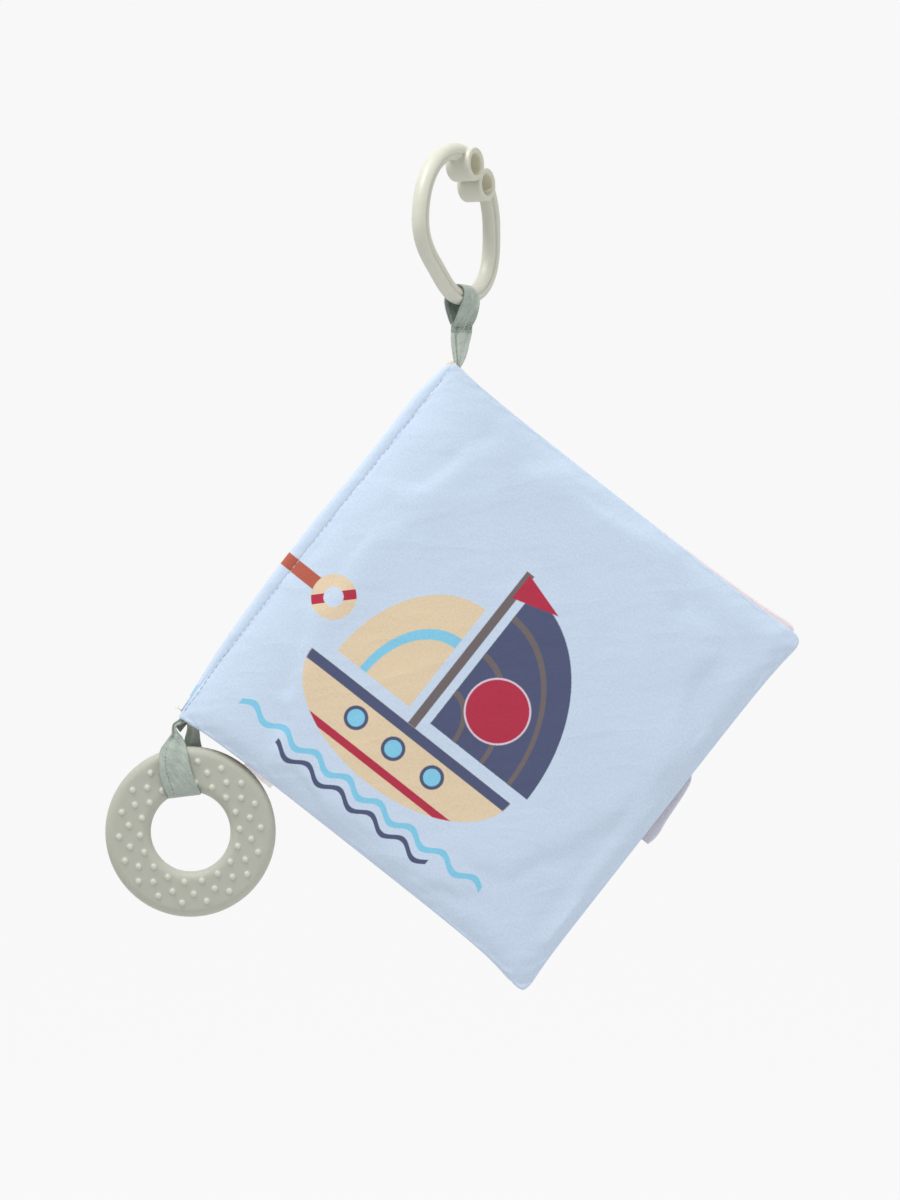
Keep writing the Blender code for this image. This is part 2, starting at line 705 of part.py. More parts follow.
# Assembly
LEAVES = {
    "front_cover": {"side": -1, "start": GAP / 2, "fan": 0, "film_face": -1},
    "page": {"side": 0, "start": PAGE_SPINE_SET + GAP / 2, "fan": PAGE_FAN, "film_face": -1},
    "back_cover": {"side": 1, "start": GAP / 2, "fan": 0, "film_face": 1},
}


def make_book():
    swivel = empty("book_swivel", None, Matrix.Translation(swivel_point()))
    place = Matrix.Translation(-UP * SWIVEL_RISE) @ Matrix.Rotation(BOOK_TILT, 4, "Y")
    book = empty("book", swivel, place)
    hinges = {
        "front_cover": Vector((0, -HINGE_Y, 0)),
        "page": Vector((PAGE_SPINE_SET, 0, 0)),
        "back_cover": Vector((0, HINGE_Y, 0)),
    }
    empties = {name: empty(f"{name}_hinge", book, Matrix.Translation(v)) for name, v in hinges.items()}
    faces = {
        "front_cover": ("front_cover_outer_panel", "front_cover_inner_panel"),
        "page": ("page_front_panel", "page_back_panel"),
        "back_cover": ("back_cover_inner_panel", "back_cover_outer_panel"),
    }
    cloths = {"front_cover": ("sky", "beige"), "page": ("pink", "lavender"), "back_cover": ("pink", "sky")}
    for name, leaf in LEAVES.items():
        surfaces = [SURFACES[key] for key in cloths[name]]
        make_leaf(name, faces[name], leaf, empties[name], hinges[name], surfaces)
    make_spine(book, SURFACES["sky"], SURFACES["wadding"])
    make_tab(LEAVES["page"], empties["page"], hinges["page"], SURFACES["tab"])
    make_label(LEAVES["back_cover"], empties["back_cover"], hinges["back_cover"], SURFACES["label"])


def main():
    clear_scene()
    SURFACES.update(
        ring=material("ring plastic", CREAM, 0.45),
        ribbon=material("ribbon", SAGE, 0.85),
        sky=material("sky cloth", SKY, 0.9),
        pink=material("pink cloth", PINK, 0.9),
        beige=material("beige cloth", BEIGE, 0.9),
        lavender=material("lavender cloth", LAVENDER, 0.9),
        tab=material("tab cloth", LAVENDER, 0.9),
        label=material("label", WHITE, 0.8),
        wadding=material("wadding", WHITE, 1),
        film=material("crinkle film", FILM, 0.25),
        silicone=material("silicone", GREY_SAGE, 0.6),
    )
    make_ring(SURFACES["ring"])
    swing = empty("strap_swing", None, Matrix.Translation(strap_seat()))
    make_strap_loop(swing, SURFACES["ribbon"])
    make_strap_tail(swing, SURFACES["ribbon"])
    make_book()
    hang = empty("teether_strap_swing", None, Matrix.Translation(strap_pivot()))
    make_teether_strap(hang, SURFACES["ribbon"])
    make_teether(empty("teether_spin", None, Matrix.Translation(teether_centre())), SURFACES["silicone"])


SURFACES = {}
main()
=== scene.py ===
# %% [markdown]
# # A crinkle cloth book
#
# The toy is a small padded cloth book for a baby. It hangs by one corner from a plastic clip ring,
# and a silicone teething ring hangs from its lower spine corner on a folded ribbon. The imported CAD
# model is the frame: it says how big everything is and what turns on what. This script dresses it,
# piece by piece, and most pieces are told which part of the frame they move with.

import json
import math

import bmesh
import bpy
import numpy as np
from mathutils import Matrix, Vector, noise
from mathutils.bvhtree import BVHTree


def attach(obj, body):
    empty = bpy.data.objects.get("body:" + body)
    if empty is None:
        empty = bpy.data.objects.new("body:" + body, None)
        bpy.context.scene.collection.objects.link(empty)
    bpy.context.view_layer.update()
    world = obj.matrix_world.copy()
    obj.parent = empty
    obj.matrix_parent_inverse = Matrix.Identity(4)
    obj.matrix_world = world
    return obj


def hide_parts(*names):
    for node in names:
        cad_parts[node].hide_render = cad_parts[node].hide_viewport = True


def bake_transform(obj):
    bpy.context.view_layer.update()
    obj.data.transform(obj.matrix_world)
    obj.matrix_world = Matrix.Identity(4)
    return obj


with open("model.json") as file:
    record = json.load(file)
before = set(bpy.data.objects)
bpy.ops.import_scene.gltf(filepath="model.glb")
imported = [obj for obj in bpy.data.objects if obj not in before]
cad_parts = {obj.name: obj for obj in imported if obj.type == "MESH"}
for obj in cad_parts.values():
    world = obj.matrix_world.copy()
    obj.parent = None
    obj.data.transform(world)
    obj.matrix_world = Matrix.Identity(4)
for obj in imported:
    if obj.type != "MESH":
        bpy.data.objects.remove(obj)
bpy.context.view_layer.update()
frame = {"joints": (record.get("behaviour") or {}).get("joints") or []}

# %% [markdown]
# ## Places
#
# The record's joints are the places where things hang, fold and turn, so everything is measured
# from them. The book has its own directions: along its top edge, down its spine, and through its
# leaves. Lengths are given in millimetres and turned into Blender's metres by one factor.

# %% Directions and places
MM = 0.001
JOINTS = {joint["name"]: joint for joint in frame["joints"]}


def place(name):
    return Vector(JOINTS[name]["pos_m"])


THROUGH = Vector((0, 1, 0))
UP = Vector((0, 0, 1))
DOWN_SPINE = Vector(JOINTS["front_cover_open"]["axis"]).normalized()
ALONG_TOP = Vector((-DOWN_SPINE.z, 0, DOWN_SPINE.x))
CORNER = (place("front_cover_open") + place("back_cover_open")) / 2
SEAT = place("strap_swing")
TEETHER = place("teether_spin")
STRAP_ROOT = place("teether_strap_swing")


def on_book(across, through, down):
    """A point given in the book's own millimetres."""
    return CORNER + (ALONG_TOP * across + THROUGH * through + DOWN_SPINE * down) * MM


print("Book corner in mm:", [round(v / MM, 2) for v in CORNER])

# %% [markdown]
# ## Camera, light and floor
#
# The photograph looks straight at the cover from a little way off, so a long lens a metre and a
# half away gives the same view. The light is plain: a bright even room and two large soft lamps.
# The floor is far below, where it takes the shadow, and shows the camera the same pale colour as
# the room.

# %% Camera
FRAME_HEIGHT = 450.0  # what the picture's height covers at the cover, in mm
CAMERA_AWAY = 1650.0
SENSOR = 36.0
camera_data = bpy.data.cameras.new("camera")
camera_data.sensor_width = SENSOR
camera_data.lens = SENSOR * CAMERA_AWAY / FRAME_HEIGHT
camera_data.clip_end = 20
camera = bpy.data.objects.new("camera", camera_data)
bpy.context.scene.collection.objects.link(camera)
camera.location = (-2.5 * MM, -CAMERA_AWAY * MM, -164.6 * MM)
camera.rotation_euler = (math.radians(90), 0, 0)
bpy.context.scene.camera = camera
print(f"Lens {camera_data.lens:.0f} mm")

# %% Shader maths
class Wire:
    """A socket that can be used in Python sums. Each operator adds one Math node."""

    def __init__(self, surface, socket):
        self.surface, self.socket = surface, socket

    def maths(self, operation, *others):
        return self.surface.add("ShaderNodeMath", {"operation": operation}, [self, *others])

    def __add__(self, other):
        return self.maths("ADD", other)

    def __sub__(self, other):
        return self.maths("SUBTRACT", other)

    def __mul__(self, other):
        return self.maths("MULTIPLY", other)

    def __truediv__(self, other):
        return self.maths("DIVIDE", other)

    def __rsub__(self, other):
        return self.surface.add("ShaderNodeMath", {"operation": "SUBTRACT"}, [other, self])

    __radd__ = __add__
    __rmul__ = __mul__

    def least(self, other):
        return self.maths("MINIMUM", other)

    def most(self, other):
        return self.maths("MAXIMUM", other)

    def size(self):
        return self.maths("ABSOLUTE")

    def root(self):
        return self.maths("SQRT")

    def sine(self):
        return self.maths("SINE")

    def clamped(self):
        return self.maths("MAXIMUM", 0).maths("MINIMUM", 1)


class Surface:
    """A node material, or any other node tree, built in Python."""

    def __init__(self, tree):
        self.tree = tree

    def add(self, kind, settings=None, inputs=None, output=0):
        """Adds a node: its settings first, then the value or link of each named or numbered input."""
        node = self.tree.nodes.new(kind)
        for key, value in (settings or {}).items():
            setattr(node, key, value)
        pairs = inputs.items() if isinstance(inputs, dict) else enumerate(inputs or [])
        for key, value in pairs:
            if isinstance(value, Wire):
                self.tree.links.new(value.socket, node.inputs[key])
            elif value is not None:
                node.inputs[key].default_value = value
        self.last = node
        return Wire(self, node.outputs[output]) if len(node.outputs) else None

    def mix(self, factor, low, high):
        """A colour between two others."""
        inputs = {0: factor, 6: low, 7: high}
        return self.add("ShaderNodeMix", {"data_type": "RGBA"}, inputs, output=2)

    def split(self, vector):
        self.add("ShaderNodeSeparateXYZ", None, [vector])
        return [Wire(self, socket) for socket in self.last.outputs]

    def join(self, x, y, z):
        return self.add("ShaderNodeCombineXYZ", None, [x, y, z])

    def object_mm(self):
        """The place on the object, in millimetres."""
        vector = self.add("ShaderNodeTexCoord", None, None, output="Object")
        return self.add("ShaderNodeVectorMath", {"operation": "SCALE"}, {0: vector, "Scale": 1 / MM})

    def cloth_mm(self):
        """The place on the flat cloth, in millimetres, from the piece's own UV map."""
        vector = self.add("ShaderNodeUVMap", {"uv_map": "cloth"})
        return self.add("ShaderNodeVectorMath", {"operation": "SCALE"}, {0: vector, "Scale": UV_SPAN})

    def noise(self, vector, scale, detail=2.0, roughness=0.5):
        inputs = {"Vector": vector, "Scale": scale, "Detail": detail, "Roughness": roughness}
        return self.add("ShaderNodeTexNoise", None, inputs)

    def bump(self, height, strength, distance, normal=None):
        inputs = {"Height": height, "Strength": strength, "Distance": distance * MM, "Normal": normal}
        return self.add("ShaderNodeBump", None, inputs)


UV_SPAN = 200.0  # millimetres of cloth in one unit of the UV map


def colour(red, green, blue):
    """A colour given as the 0 to 255 numbers that a screen uses, made linear for the shader."""
    return (*[((v / 255 + 0.055) / 1.055) ** 2.4 if v > 10.3 else v / 3294.6 for v in (red, green, blue)], 1)


def material(name):
    """A new material: the tree to build on, and its main shader's inputs."""
    made = bpy.data.materials.new(name)
    made.use_nodes = True
    shader = made.node_tree.nodes["Principled BSDF"]
    return made, Surface(made.node_tree), shader


def finish_material(surface, shader, sockets):
    """Links or sets the shader's inputs."""
    for key, value in sockets.items():
        if isinstance(value, Wire):
            surface.tree.links.new(value.socket, shader.inputs[key])
        else:
            shader.inputs[key].default_value = value


# %% Room, lamps and floor
PALE = colour(248, 248, 248)
ROOM_LIGHT = 0.61
world = bpy.data.worlds.new("room")
bpy.context.scene.world = world
world.use_nodes = True
room = Surface(world.node_tree)
background = world.node_tree.nodes["Background"]
room.add("ShaderNodeLightPath")
seen = [Wire(room, room.last.outputs[name]) for name in ("Is Camera Ray", "Is Glossy Ray", "Is Transmission Ray")]
straight = seen[0].most(seen[1]).most(seen[2])
world.node_tree.links.new(room.mix(straight, (1, 1, 1, 1), PALE).socket, background.inputs["Color"])
world.node_tree.links.new(
    (straight * (1 - ROOM_LIGHT) + ROOM_LIGHT).socket, background.inputs["Strength"]
)

LAMPS = (
    # name, place in metres, size in metres, power in watts
    ("key lamp", (-0.45, -0.42, 1.05), 0.5, 13.8),
    ("fill lamp", (1.05, -0.5, -0.1), 0.7, 1.8),
)
for name, spot, size, power in LAMPS:
    lamp_data = bpy.data.lights.new(name, "AREA")
    lamp_data.energy, lamp_data.size = power, size
    lamp = bpy.data.objects.new(name, lamp_data)
    bpy.context.scene.collection.objects.link(lamp)
    lamp.location = spot
    aim = Vector((0, 0, -0.17)) - Vector(spot)
    lamp.rotation_euler = aim.to_track_quat("-Z", "Y").to_euler()
    lamp.visible_camera = False

FLOOR_LEVEL = -0.62
FLOOR_HALF = 6.0
FLOOR_GLOW = colour(253, 253, 253)  # a tenth of what the camera sees there is the floor's own dimmer cloth
corners = [(x * FLOOR_HALF, y * FLOOR_HALF, FLOOR_LEVEL) for x, y in ((-1, -1), (1, -1), (1, 1), (-1, 1))]
floor_mesh = bpy.data.meshes.new("floor")
floor_mesh.from_pydata(corners, [], [(0, 1, 2, 3)])
floor = bpy.data.objects.new("floor", floor_mesh)
bpy.context.scene.collection.objects.link(floor)
made, surface, shader = material("floor")
finish_material(surface, shader, {"Base Color": colour(238, 238, 238), "Roughness": 0.9})
surface.add("ShaderNodeLightPath")
camera_ray = Wire(surface, surface.last.outputs["Is Camera Ray"])
glow = surface.add("ShaderNodeEmission", None, {"Color": FLOOR_GLOW, "Strength": 1.0})
shown = surface.add("ShaderNodeMixShader", None, {0: camera_ray * 0.9, 1: Wire(surface, shader.outputs[0]), 2: glow})
surface.tree.links.new(shown.socket, made.node_tree.nodes["Material Output"].inputs["Surface"])
floor_mesh.materials.append(made)
bpy.context.scene.view_settings.view_transform = "Standard"

# %% [markdown]
# ## Cloth finishes
#
# Three cloths are in the toy. The book is soft brushed cloth with a very short nap, so its colour
# is a little cloudy, and its bump is a fine fuzz with no direction. The straps are cut from a thin
# woven cloth with a slight shine, and the label is a smooth ribbon. Every pattern is laid on the
# flat cloth's own map, so that it turns with the cloth when a page is turned.

# %% Brushed cloth
FUZZ_SCALE = 2.2
NAP_SCALE = 1.05
CLOUD_SCALE = 0.03
CREASE_SCALES = (0.028, 0.011)  # along and across the soft creases, in noise cells for a millimetre


def brushed_cloth(surface, base, shade):
    """Colour, roughness and bump of a short brushed nap. Base is a colour or a wire."""
    spot = surface.cloth_mm()
    x, y, _ = surface.split(spot)
    cloud = surface.noise(spot, CLOUD_SCALE, 3.0)
    nap = surface.noise(spot, NAP_SCALE, 3.0, 0.6)
    fuzz = surface.noise(spot, FUZZ_SCALE, 2.0, 0.7)
    slanted = surface.join((x + y) * CREASE_SCALES[0], (x - y) * CREASE_SCALES[1], 0.0)
    creased = surface.noise(slanted, 1.0, 3.0, 0.55)
    ridge = 1.0 - (creased - 0.5).size() * 9.0
    mottle = (cloud - 0.5) * 0.7 + (nap - 0.5) * 2.8 + (fuzz - 0.5) * 1.5 + 0.5
    dulled = surface.add(
        "ShaderNodeMix", {"data_type": "RGBA", "blend_type": "MULTIPLY"}, {0: 1.0, 6: base, 7: shade}, output=2
    )
    tint = surface.mix(mottle.clamped(), dulled, base)
    soft = surface.bump(ridge.clamped(), 0.4, 0.35)
    normal = surface.bump(fuzz * 0.6 + nap * 0.8, 0.3, 0.2, soft)
    roughness = (nap - 0.5) * 0.12 + 0.9
    return tint, roughness, normal


def cloth_sockets(tint, roughness, normal):
    """What the soft cloths share: a little sheen and a weak reflection."""
    return {"Base Color": tint, "Roughness": roughness, "Normal": normal, "Sheen Weight": 0.1,
            "Sheen Roughness": 0.5, "Specular IOR Level": 0.2}


def cloth_material(name, base, shade=(0.93, 0.94, 0.96, 1)):
    made, surface, shader = material(name)
    tint, roughness, normal = brushed_cloth(surface, base, shade)
    finish_material(
        surface,
        shader,
        cloth_sockets(tint, roughness, normal),
    )
    return made


BLUE = colour(205, 221, 240)
CLOTH_SHADE = (0.905, 0.91, 0.92, 1)
BEIGE_CLOTH = cloth_material("beige cloth", colour(232, 214, 192))
PINK_CLOTH = cloth_material("pink cloth", colour(240, 232, 237))
LILAC_CLOTH = cloth_material("lilac cloth", colour(206, 208, 232))
TAB_CLOTH = cloth_material("tab cloth", colour(209, 212, 228), (0.92, 0.92, 0.93, 1))

# %% [markdown]
# ## The print on the cover
#
# The cover carries a plain printed picture: a toy sailing boat with a round spot on its sail, a
# life ring on a line, and two waves. Each shape is a distance: negative inside, positive outside,
# and zero on its edge. The smaller of two distances joins two shapes, the larger one keeps what
# they share, and a step at zero turns a distance into a mask with a clean printed edge.

# %% The printed cloth
EDGE_SOFTNESS = 0.35  # in mm: ink spreads a little into the nap
SAND = colour(230, 209, 177)
NAVY = colour(84, 91, 122)
TAUPE = colour(116, 106, 108)
CRIMSON = colour(184, 54, 77)
RIM_PINK = colour(226, 205, 222)
SKY = colour(136, 206, 235)
RUST = colour(184, 96, 78)


def disc(x, y, middle, radius):
    u, v = x - middle[0], y - middle[1]
    return (u * u + v * v).root() - radius


def oval(x, y, middle, radii):
    """Close to the distance from an oval, and exact on its edge."""
    u, v = (x - middle[0]) / radii[0], (y - middle[1]) / radii[1]
    return ((u * u + v * v).root() - 1) * min(radii)


def slab(value, low, high):
    return (value - (low + high) / 2).size() - (high - low) / 2


def mask(distance):
    return (0.5 - distance / EDGE_SOFTNESS).clamped()


def printed_picture(surface, base):
    """The picture's colour over the cloth's own, from its flat millimetres."""
    x, y, _ = surface.split(surface.cloth_mm())
    feather = (surface.noise(surface.cloth_mm(), 1.7, 2.0) - 0.5) * 0.25
    tint = base
    mast, deck, boom = 70.0, 116.0, 111.0
    main_rim = oval(x, y, (75, boom), (46, 62))
    jib_rim = oval(x, y, (65, boom), (34, 46))
    belt_rim = disc(x, y, (17.5, 96.2), 6.2).size() - 2.4
    hull = oval(x, y, (70, deck), (47, 27)).most(deck - y)
    mainsail = main_rim.most(75 - x).most(y - boom)
    jib = jib_rim.most(x - 65).most(y - boom)
    jib_ring = (jib_rim + 12).size() - 1.6
    seams = [(main_rim + inset).size() - 0.9 for inset in (9, 22, 35)]
    pennant = slab(x, mast, 88).most((y - 50).size() - (88 - x) * 0.3)
    wave_line = (x * (2 * math.pi / 15)).sine() * 1.7
    wave_ends = slab(x, 14, 128)

    def portholes(radius):
        left, middle, right = (disc(x, y, spot, radius) for spot in ((52, 126.5), (70, 127), (88, 126.5)))
        return left.least(middle).least(right)

    shapes = (
        (jib, SAND),
        (jib.most(jib_ring), SKY),
        (mainsail, NAVY),
        (mainsail.most(seams[0].least(seams[1]).least(seams[2])), TAUPE),
        (disc(x, y, (92, 92), 12.6), RIM_PINK),
        (disc(x, y, (92, 92), 11.9), CRIMSON),
        (slab(x, mast - 1.7, mast + 1.7).most(slab(y, 44, deck)), TAUPE),
        (pennant, CRIMSON),
        (hull, SAND),
        (hull.most(slab(y, deck, deck + 4)), NAVY),
        (hull.most(slab(y, deck + 19, deck + 22)), CRIMSON),
        (portholes(4.6), NAVY),
        (portholes(3.3), SKY),
        (slab(y + wave_line, 146.5, 149).most(wave_ends), SKY),
        (slab(y + wave_line, 152, 154).most(slab(x, 34, 106)), NAVY),
        (slab(y, 93.5, 98.9).most(slab(x, -30, 10.5)), RUST),
        (slab(y, 154, 159).most(slab(x, -6.2, -3.2)), SKY),
        (belt_rim, SAND),
        (belt_rim.most(((x - 17.5) + (y - 96.2)).size() - 2.6), CRIMSON),
    )
    for distance, ink in shapes:
        tint = surface.mix(mask(distance + feather), tint, ink)
    return tint


made, surface, shader = material("printed cover cloth")
tint, roughness, normal = brushed_cloth(surface, printed_picture(surface, BLUE), CLOTH_SHADE)
finish_material(surface, shader, cloth_sockets(tint, roughness, normal))
PRINTED_CLOTH = made
print("Printed cloth:", len(made.node_tree.nodes), "nodes")

# %% [markdown]
# ## Woven and moulded finishes
#
# The straps are a plain weave: two sets of threads at right angles that pass over and under each
# other. Product of two waves gives that checker of small bumps. The plastic ring and the silicone
# teether have no pattern, only a faint unevenness in their shine and a very fine moulded grain.

# %% Woven strap, label and thread
THREADS_PER_MM = 2.6
TAIL_PAINTED_HIGHLIGHT = colour(212, 222, 213)
TACK_PAINTED_SHADOW = colour(112, 126, 114)
LOOP_PAINTED_SHADE = colour(92, 108, 96)


def woven_material(name, base, shade, sheen, glow=0.0, tack=None):
    """A woven ribbon. Glow is painted light from behind: the base colour given off as emission. Tack is the strip's
    middle, and the tack's place from it and half; it places a painted highlight on the tail, painted shadow in the tack
    and painted shade inside the loop.
    """
    made, surface, shader = material(name)
    spot = surface.cloth_mm()
    x, y, _ = surface.split(spot)
    pitch = 2 * math.pi * THREADS_PER_MM
    weave = (x * pitch).sine() * (y * pitch).sine()
    slub = surface.noise(surface.join(x * 0.35, y * 2.2, 0.0), 1.0, 3.0)
    crumple = surface.noise(surface.join(x * 0.5 + y * 0.12, y * 0.16, 0.0), 1.0, 4.0, 0.6)
    wear = surface.noise(spot, 0.35, 3.0)
    mottle = (weave * 0.14 + (slub - 0.5) * 0.9 + (wear - 0.5) * 1.1 + 0.5).clamped()
    tint = surface.mix(mottle, shade, base)
    if tack:
        middle, away, half = tack
        run = (y - middle).size()
        # Painted highlight: the tail beyond the tack is made paler, for the shine of its pressed satin.
        tint = surface.mix((run - away - half).clamped() * 0.6, tint, TAIL_PAINTED_HIGHLIGHT)
        # Painted shadow: dark blotches in the bar tack stand for the shade between its threads.
        thread_shadow = ((surface.noise(spot, 0.8, 2.0) - 0.5) * 6 + 0.5).clamped()
        sewn = (half + 0.5 - (run - away).size()).clamped() * (thread_shadow * 0.65 + 0.1)
        tint = surface.mix(sewn, tint, TACK_PAINTED_SHADOW)
        # Painted shade: the strap's inner faces inside the loop are darkened, for the shade between the legs and the
        # bar.
        inside = ((STRAP_WIDTH / 2 - x) * 4).clamped() * (away - run).clamped()
        tint = surface.mix(inside * 0.75, tint, LOOP_PAINTED_SHADE)
    soft = surface.bump(crumple, 0.6, 2.2)
    normal = surface.bump(weave * 0.5 + slub * 0.8, 0.35, 0.12, soft)
    finish_material(
        surface,
        shader,
        {"Base Color": tint, "Roughness": (wear - 0.5) * 0.2 + 0.55, "Normal": normal,
         "Sheen Weight": sheen, "Sheen Roughness": 0.4, "Specular IOR Level": 0.45,
         "Emission Color": base, "Emission Strength": glow},
    )
    return made


SAGE_RIBBON = woven_material("sage ribbon", colour(181, 192, 183), colour(150, 162, 153), 0.25)
RIBBON_PAINTED_SHADE = woven_material("ribbon painted shade", colour(112, 126, 116), colour(86, 100, 90), 0.1)
# The label glows with its own colour: painted light, for the light round it that the book holds off.
LABEL_RIBBON = woven_material("label ribbon", colour(250, 247, 247), colour(240, 234, 234), 0.1, 0.4)


def thread_material(name, base, shade):
    made, surface, shader = material(name)
    spot = surface.object_mm()
    ply = surface.noise(spot, 6.0, 2.0)
    finish_material(
        surface,
        shader,
        {"Base Color": surface.mix(ply, shade, base), "Roughness": 0.6 + (ply - 0.5) * 0.2,
         "Normal": surface.bump(ply, 0.4, 0.05), "Sheen Weight": 0.1},
    )
    return made


BLUE_THREAD = thread_material("blue thread", colour(194, 211, 237), colour(168, 188, 222))
SAGE_THREAD = thread_material("sage thread", colour(138, 151, 142), colour(104, 117, 108))
TACK_THREAD = thread_material("tack thread", colour(204, 214, 204), colour(170, 183, 172))
CREAM_THREAD = thread_material("cream thread", colour(226, 216, 200), colour(200, 188, 170))


# %% Plastic and silicone
def moulded_material(name, base, shade, roughness, grain, glow_depth, glow=0.0):
    """A moulded finish. Glow depth is how far light gets into the stuff, in mm.

    Glow is painted light for what comes through a thin wall: the base colour given off as emission.
    """
    made, surface, shader = material(name)
    spot = surface.object_mm()
    cloud = surface.noise(spot, 0.06, 3.0)
    fine = surface.noise(spot, 3.2, 3.0)
    finish_material(
        surface,
        shader,
        {"Base Color": surface.mix(cloud, shade, base), "Roughness": (cloud - 0.5) * 0.16 + roughness,
         "Normal": surface.bump(fine, grain, 0.05), "Specular IOR Level": 0.45,
         "Subsurface Weight": 0.35, "Subsurface Scale": glow_depth * MM, "Subsurface Radius": (1.0, 0.95, 0.8),
         "Emission Color": base, "Emission Strength": glow},
    )
    return made


RING_PLASTIC = moulded_material("ring plastic", colour(211, 211, 198), colour(204, 204, 190), 0.4, 0.12, 1.2)
BORE_PAINTED_LIGHT = moulded_material("bore painted light", colour(221, 219, 199), colour(212, 210, 188), 0.45, 0.12, 1.2, 0.05)
SILICONE = moulded_material("teether silicone", colour(186, 187, 175), colour(179, 180, 168), 0.55, 0.2, 4.0)
DOME_PAINTED_HIGHLIGHT = moulded_material("teether dome painted highlight", colour(206, 208, 197), colour(199, 201, 189), 0.5, 0.2, 4.0)


# %% [markdown]
# ## Mesh helpers
#
# Most pieces are a skin over rows of points: a row of points is a cross-section, and the skin
# joins each row to the next. The helpers below make such a skin, with the cloth's flat map where
# a weave or print has to follow it.

# %% Mesh helpers
def new_piece(name, points, faces, materials, face_materials=None, flat=None):
    """An object from points in metres. Flat gives each point's place on the cloth, in mm."""
    mesh = bpy.data.meshes.new(name)
    mesh.from_pydata([tuple(p) for p in points], [], [tuple(f) for f in faces])
    for item in materials:
        mesh.materials.append(item)
    if face_materials is not None:
        mesh.polygons.foreach_set("material_index", face_materials)
    if flat is not None:
        layer = mesh.uv_layers.new(name="cloth")
        loops = np.zeros(len(mesh.loops), int)
        mesh.loops.foreach_get("vertex_index", loops)
        layer.data.foreach_set("uv", (np.array(flat, float)[loops] / UV_SPAN).ravel())
    mesh.shade_smooth()
    mesh.validate()
    made = bpy.data.objects.new(name, mesh)
    bpy.context.scene.collection.objects.link(made)
    return made


def outward(obj):
    """Turns the faces of a closed piece outwards."""
    bm = bmesh.new()
    bm.from_mesh(obj.data)
    bmesh.ops.recalc_face_normals(bm, faces=bm.faces)
    bm.to_mesh(obj.data)
    bm.free()
    return obj


def skin(rings, closed=False, caps=True):
    """Faces over equal rings of points, numbered ring after ring."""
    count, size = len(rings), len(rings[0])
    faces = []
    for i in range(count if closed else count - 1):
        a, b = i * size, (i + 1) % count * size
        for j in range(size):
            k = (j + 1) % size
            faces.append((a + j, a + k, b + k, b + j))
    if caps and not closed:
        faces.append(tuple(range(size))[::-1])
        faces.append(tuple(range((count - 1) * size, count * size)))
    return faces


def ring_points(rings):
    """Every point of the rings, in the order that skin counts them in."""
    return [p for ring in rings for p in ring]


def evaluated_copy(obj, name):
    """The plain mesh that the object's modifiers make, as a new object; the old one goes."""
    graph = bpy.context.evaluated_depsgraph_get()
    mesh = bpy.data.meshes.new_from_object(obj.evaluated_get(graph))
    mesh.name = name
    bpy.data.objects.remove(obj)
    made = bpy.data.objects.new(name, mesh)
    bpy.context.scene.collection.objects.link(made)
    return made


def ease(share):
    share = min(1.0, max(0.0, share))
    return share * share * (3 - 2 * share)


def spline(knots, count):
    """A smooth curve of `count` values through evenly spaced knots, each a number or a vector."""
    knots = [np.array(k, float) for k in knots]
    knots = [2 * knots[0] - knots[1], *knots, 2 * knots[-1] - knots[-2]]
    values = []
    for i in range(count):
        at = i / (count - 1) * (len(knots) - 3)
        j = min(int(at), len(knots) - 4)
        t = at - j
        a, b, c, d = knots[j : j + 4]
        values.append(
            0.5 * (2 * b + (c - a) * t + (2 * a - 5 * b + 4 * c - d) * t * t + (3 * b - a - 3 * c + d) * t**3)
        )
    return values


def triangles(obj):
    obj.data.calc_loop_triangles()
    return len(obj.data.loop_triangles)


# %% [markdown]
# ## The clip ring
#
# The ring is one plastic moulding: a round bar bent into a loop that is open at the top, with a
# short cored barrel on each end. Bar and barrels are made as separate closed shapes that run into
# each other, then a voxel remesh melts them into one skin, and a little smoothing leaves the soft
# fillets that a mould gives. The bar's section has a small step on one side, where the halves of
# the mould met.

# %% Ring sizes
RING_RADIUS = 27.0
BAR_RADIUS = 3.4
RING_TURN = math.radians(60.6)
FLAT_BEND = (math.radians(231), math.radians(49), -0.14)
FULL_BEND = (math.radians(317), math.radians(45), 0.096)
BARREL_RADIUS, BORE_RADIUS, BARREL_LENGTH, BARREL_FLOOR = 6.4, 4.05, 10.6, 1.6
BARREL_GAP, BARREL_SLIP, BAR_INTO_BARREL = 0.4, 1.4, 1.6
BARREL_ANGLE = math.radians(75.5)
RING_ACROSS = Vector((math.cos(RING_TURN), math.sin(RING_TURN), 0))
RING_NORMAL = Vector((math.sin(RING_TURN), -math.cos(RING_TURN), 0))
RING_CENTRE = UP * (BAR_RADIUS - RING_RADIUS)


def ring_point(angle):
    """The bar's centreline, in mm."""
    turn = angle % (2 * math.pi)
    reach = RING_RADIUS
    for middle, spread, share in (FLAT_BEND, FULL_BEND):
        away = min(1, abs(turn - middle) / spread)
        reach += RING_RADIUS * share * (1 + math.cos(math.pi * away)) / 2
    return RING_CENTRE + RING_ACROSS * (reach * math.cos(angle)) + UP * (reach * math.sin(angle))


# %% Ring bar and barrels
SECTION_POINTS = 48
BAR_STATIONS = 200


def turned(profile, centre, axis, sides):
    """A closed solid of revolution from (radius, height) points in mm that start and end near the axis."""
    side = axis.orthogonal().normalized()
    front = axis.cross(side)
    rings = []
    for r, h in profile:
        turns = [2 * math.pi * i / sides for i in range(sides)]
        rings.append([centre + axis * h + (side * math.cos(t) + front * math.sin(t)) * r for t in turns])
    return rings


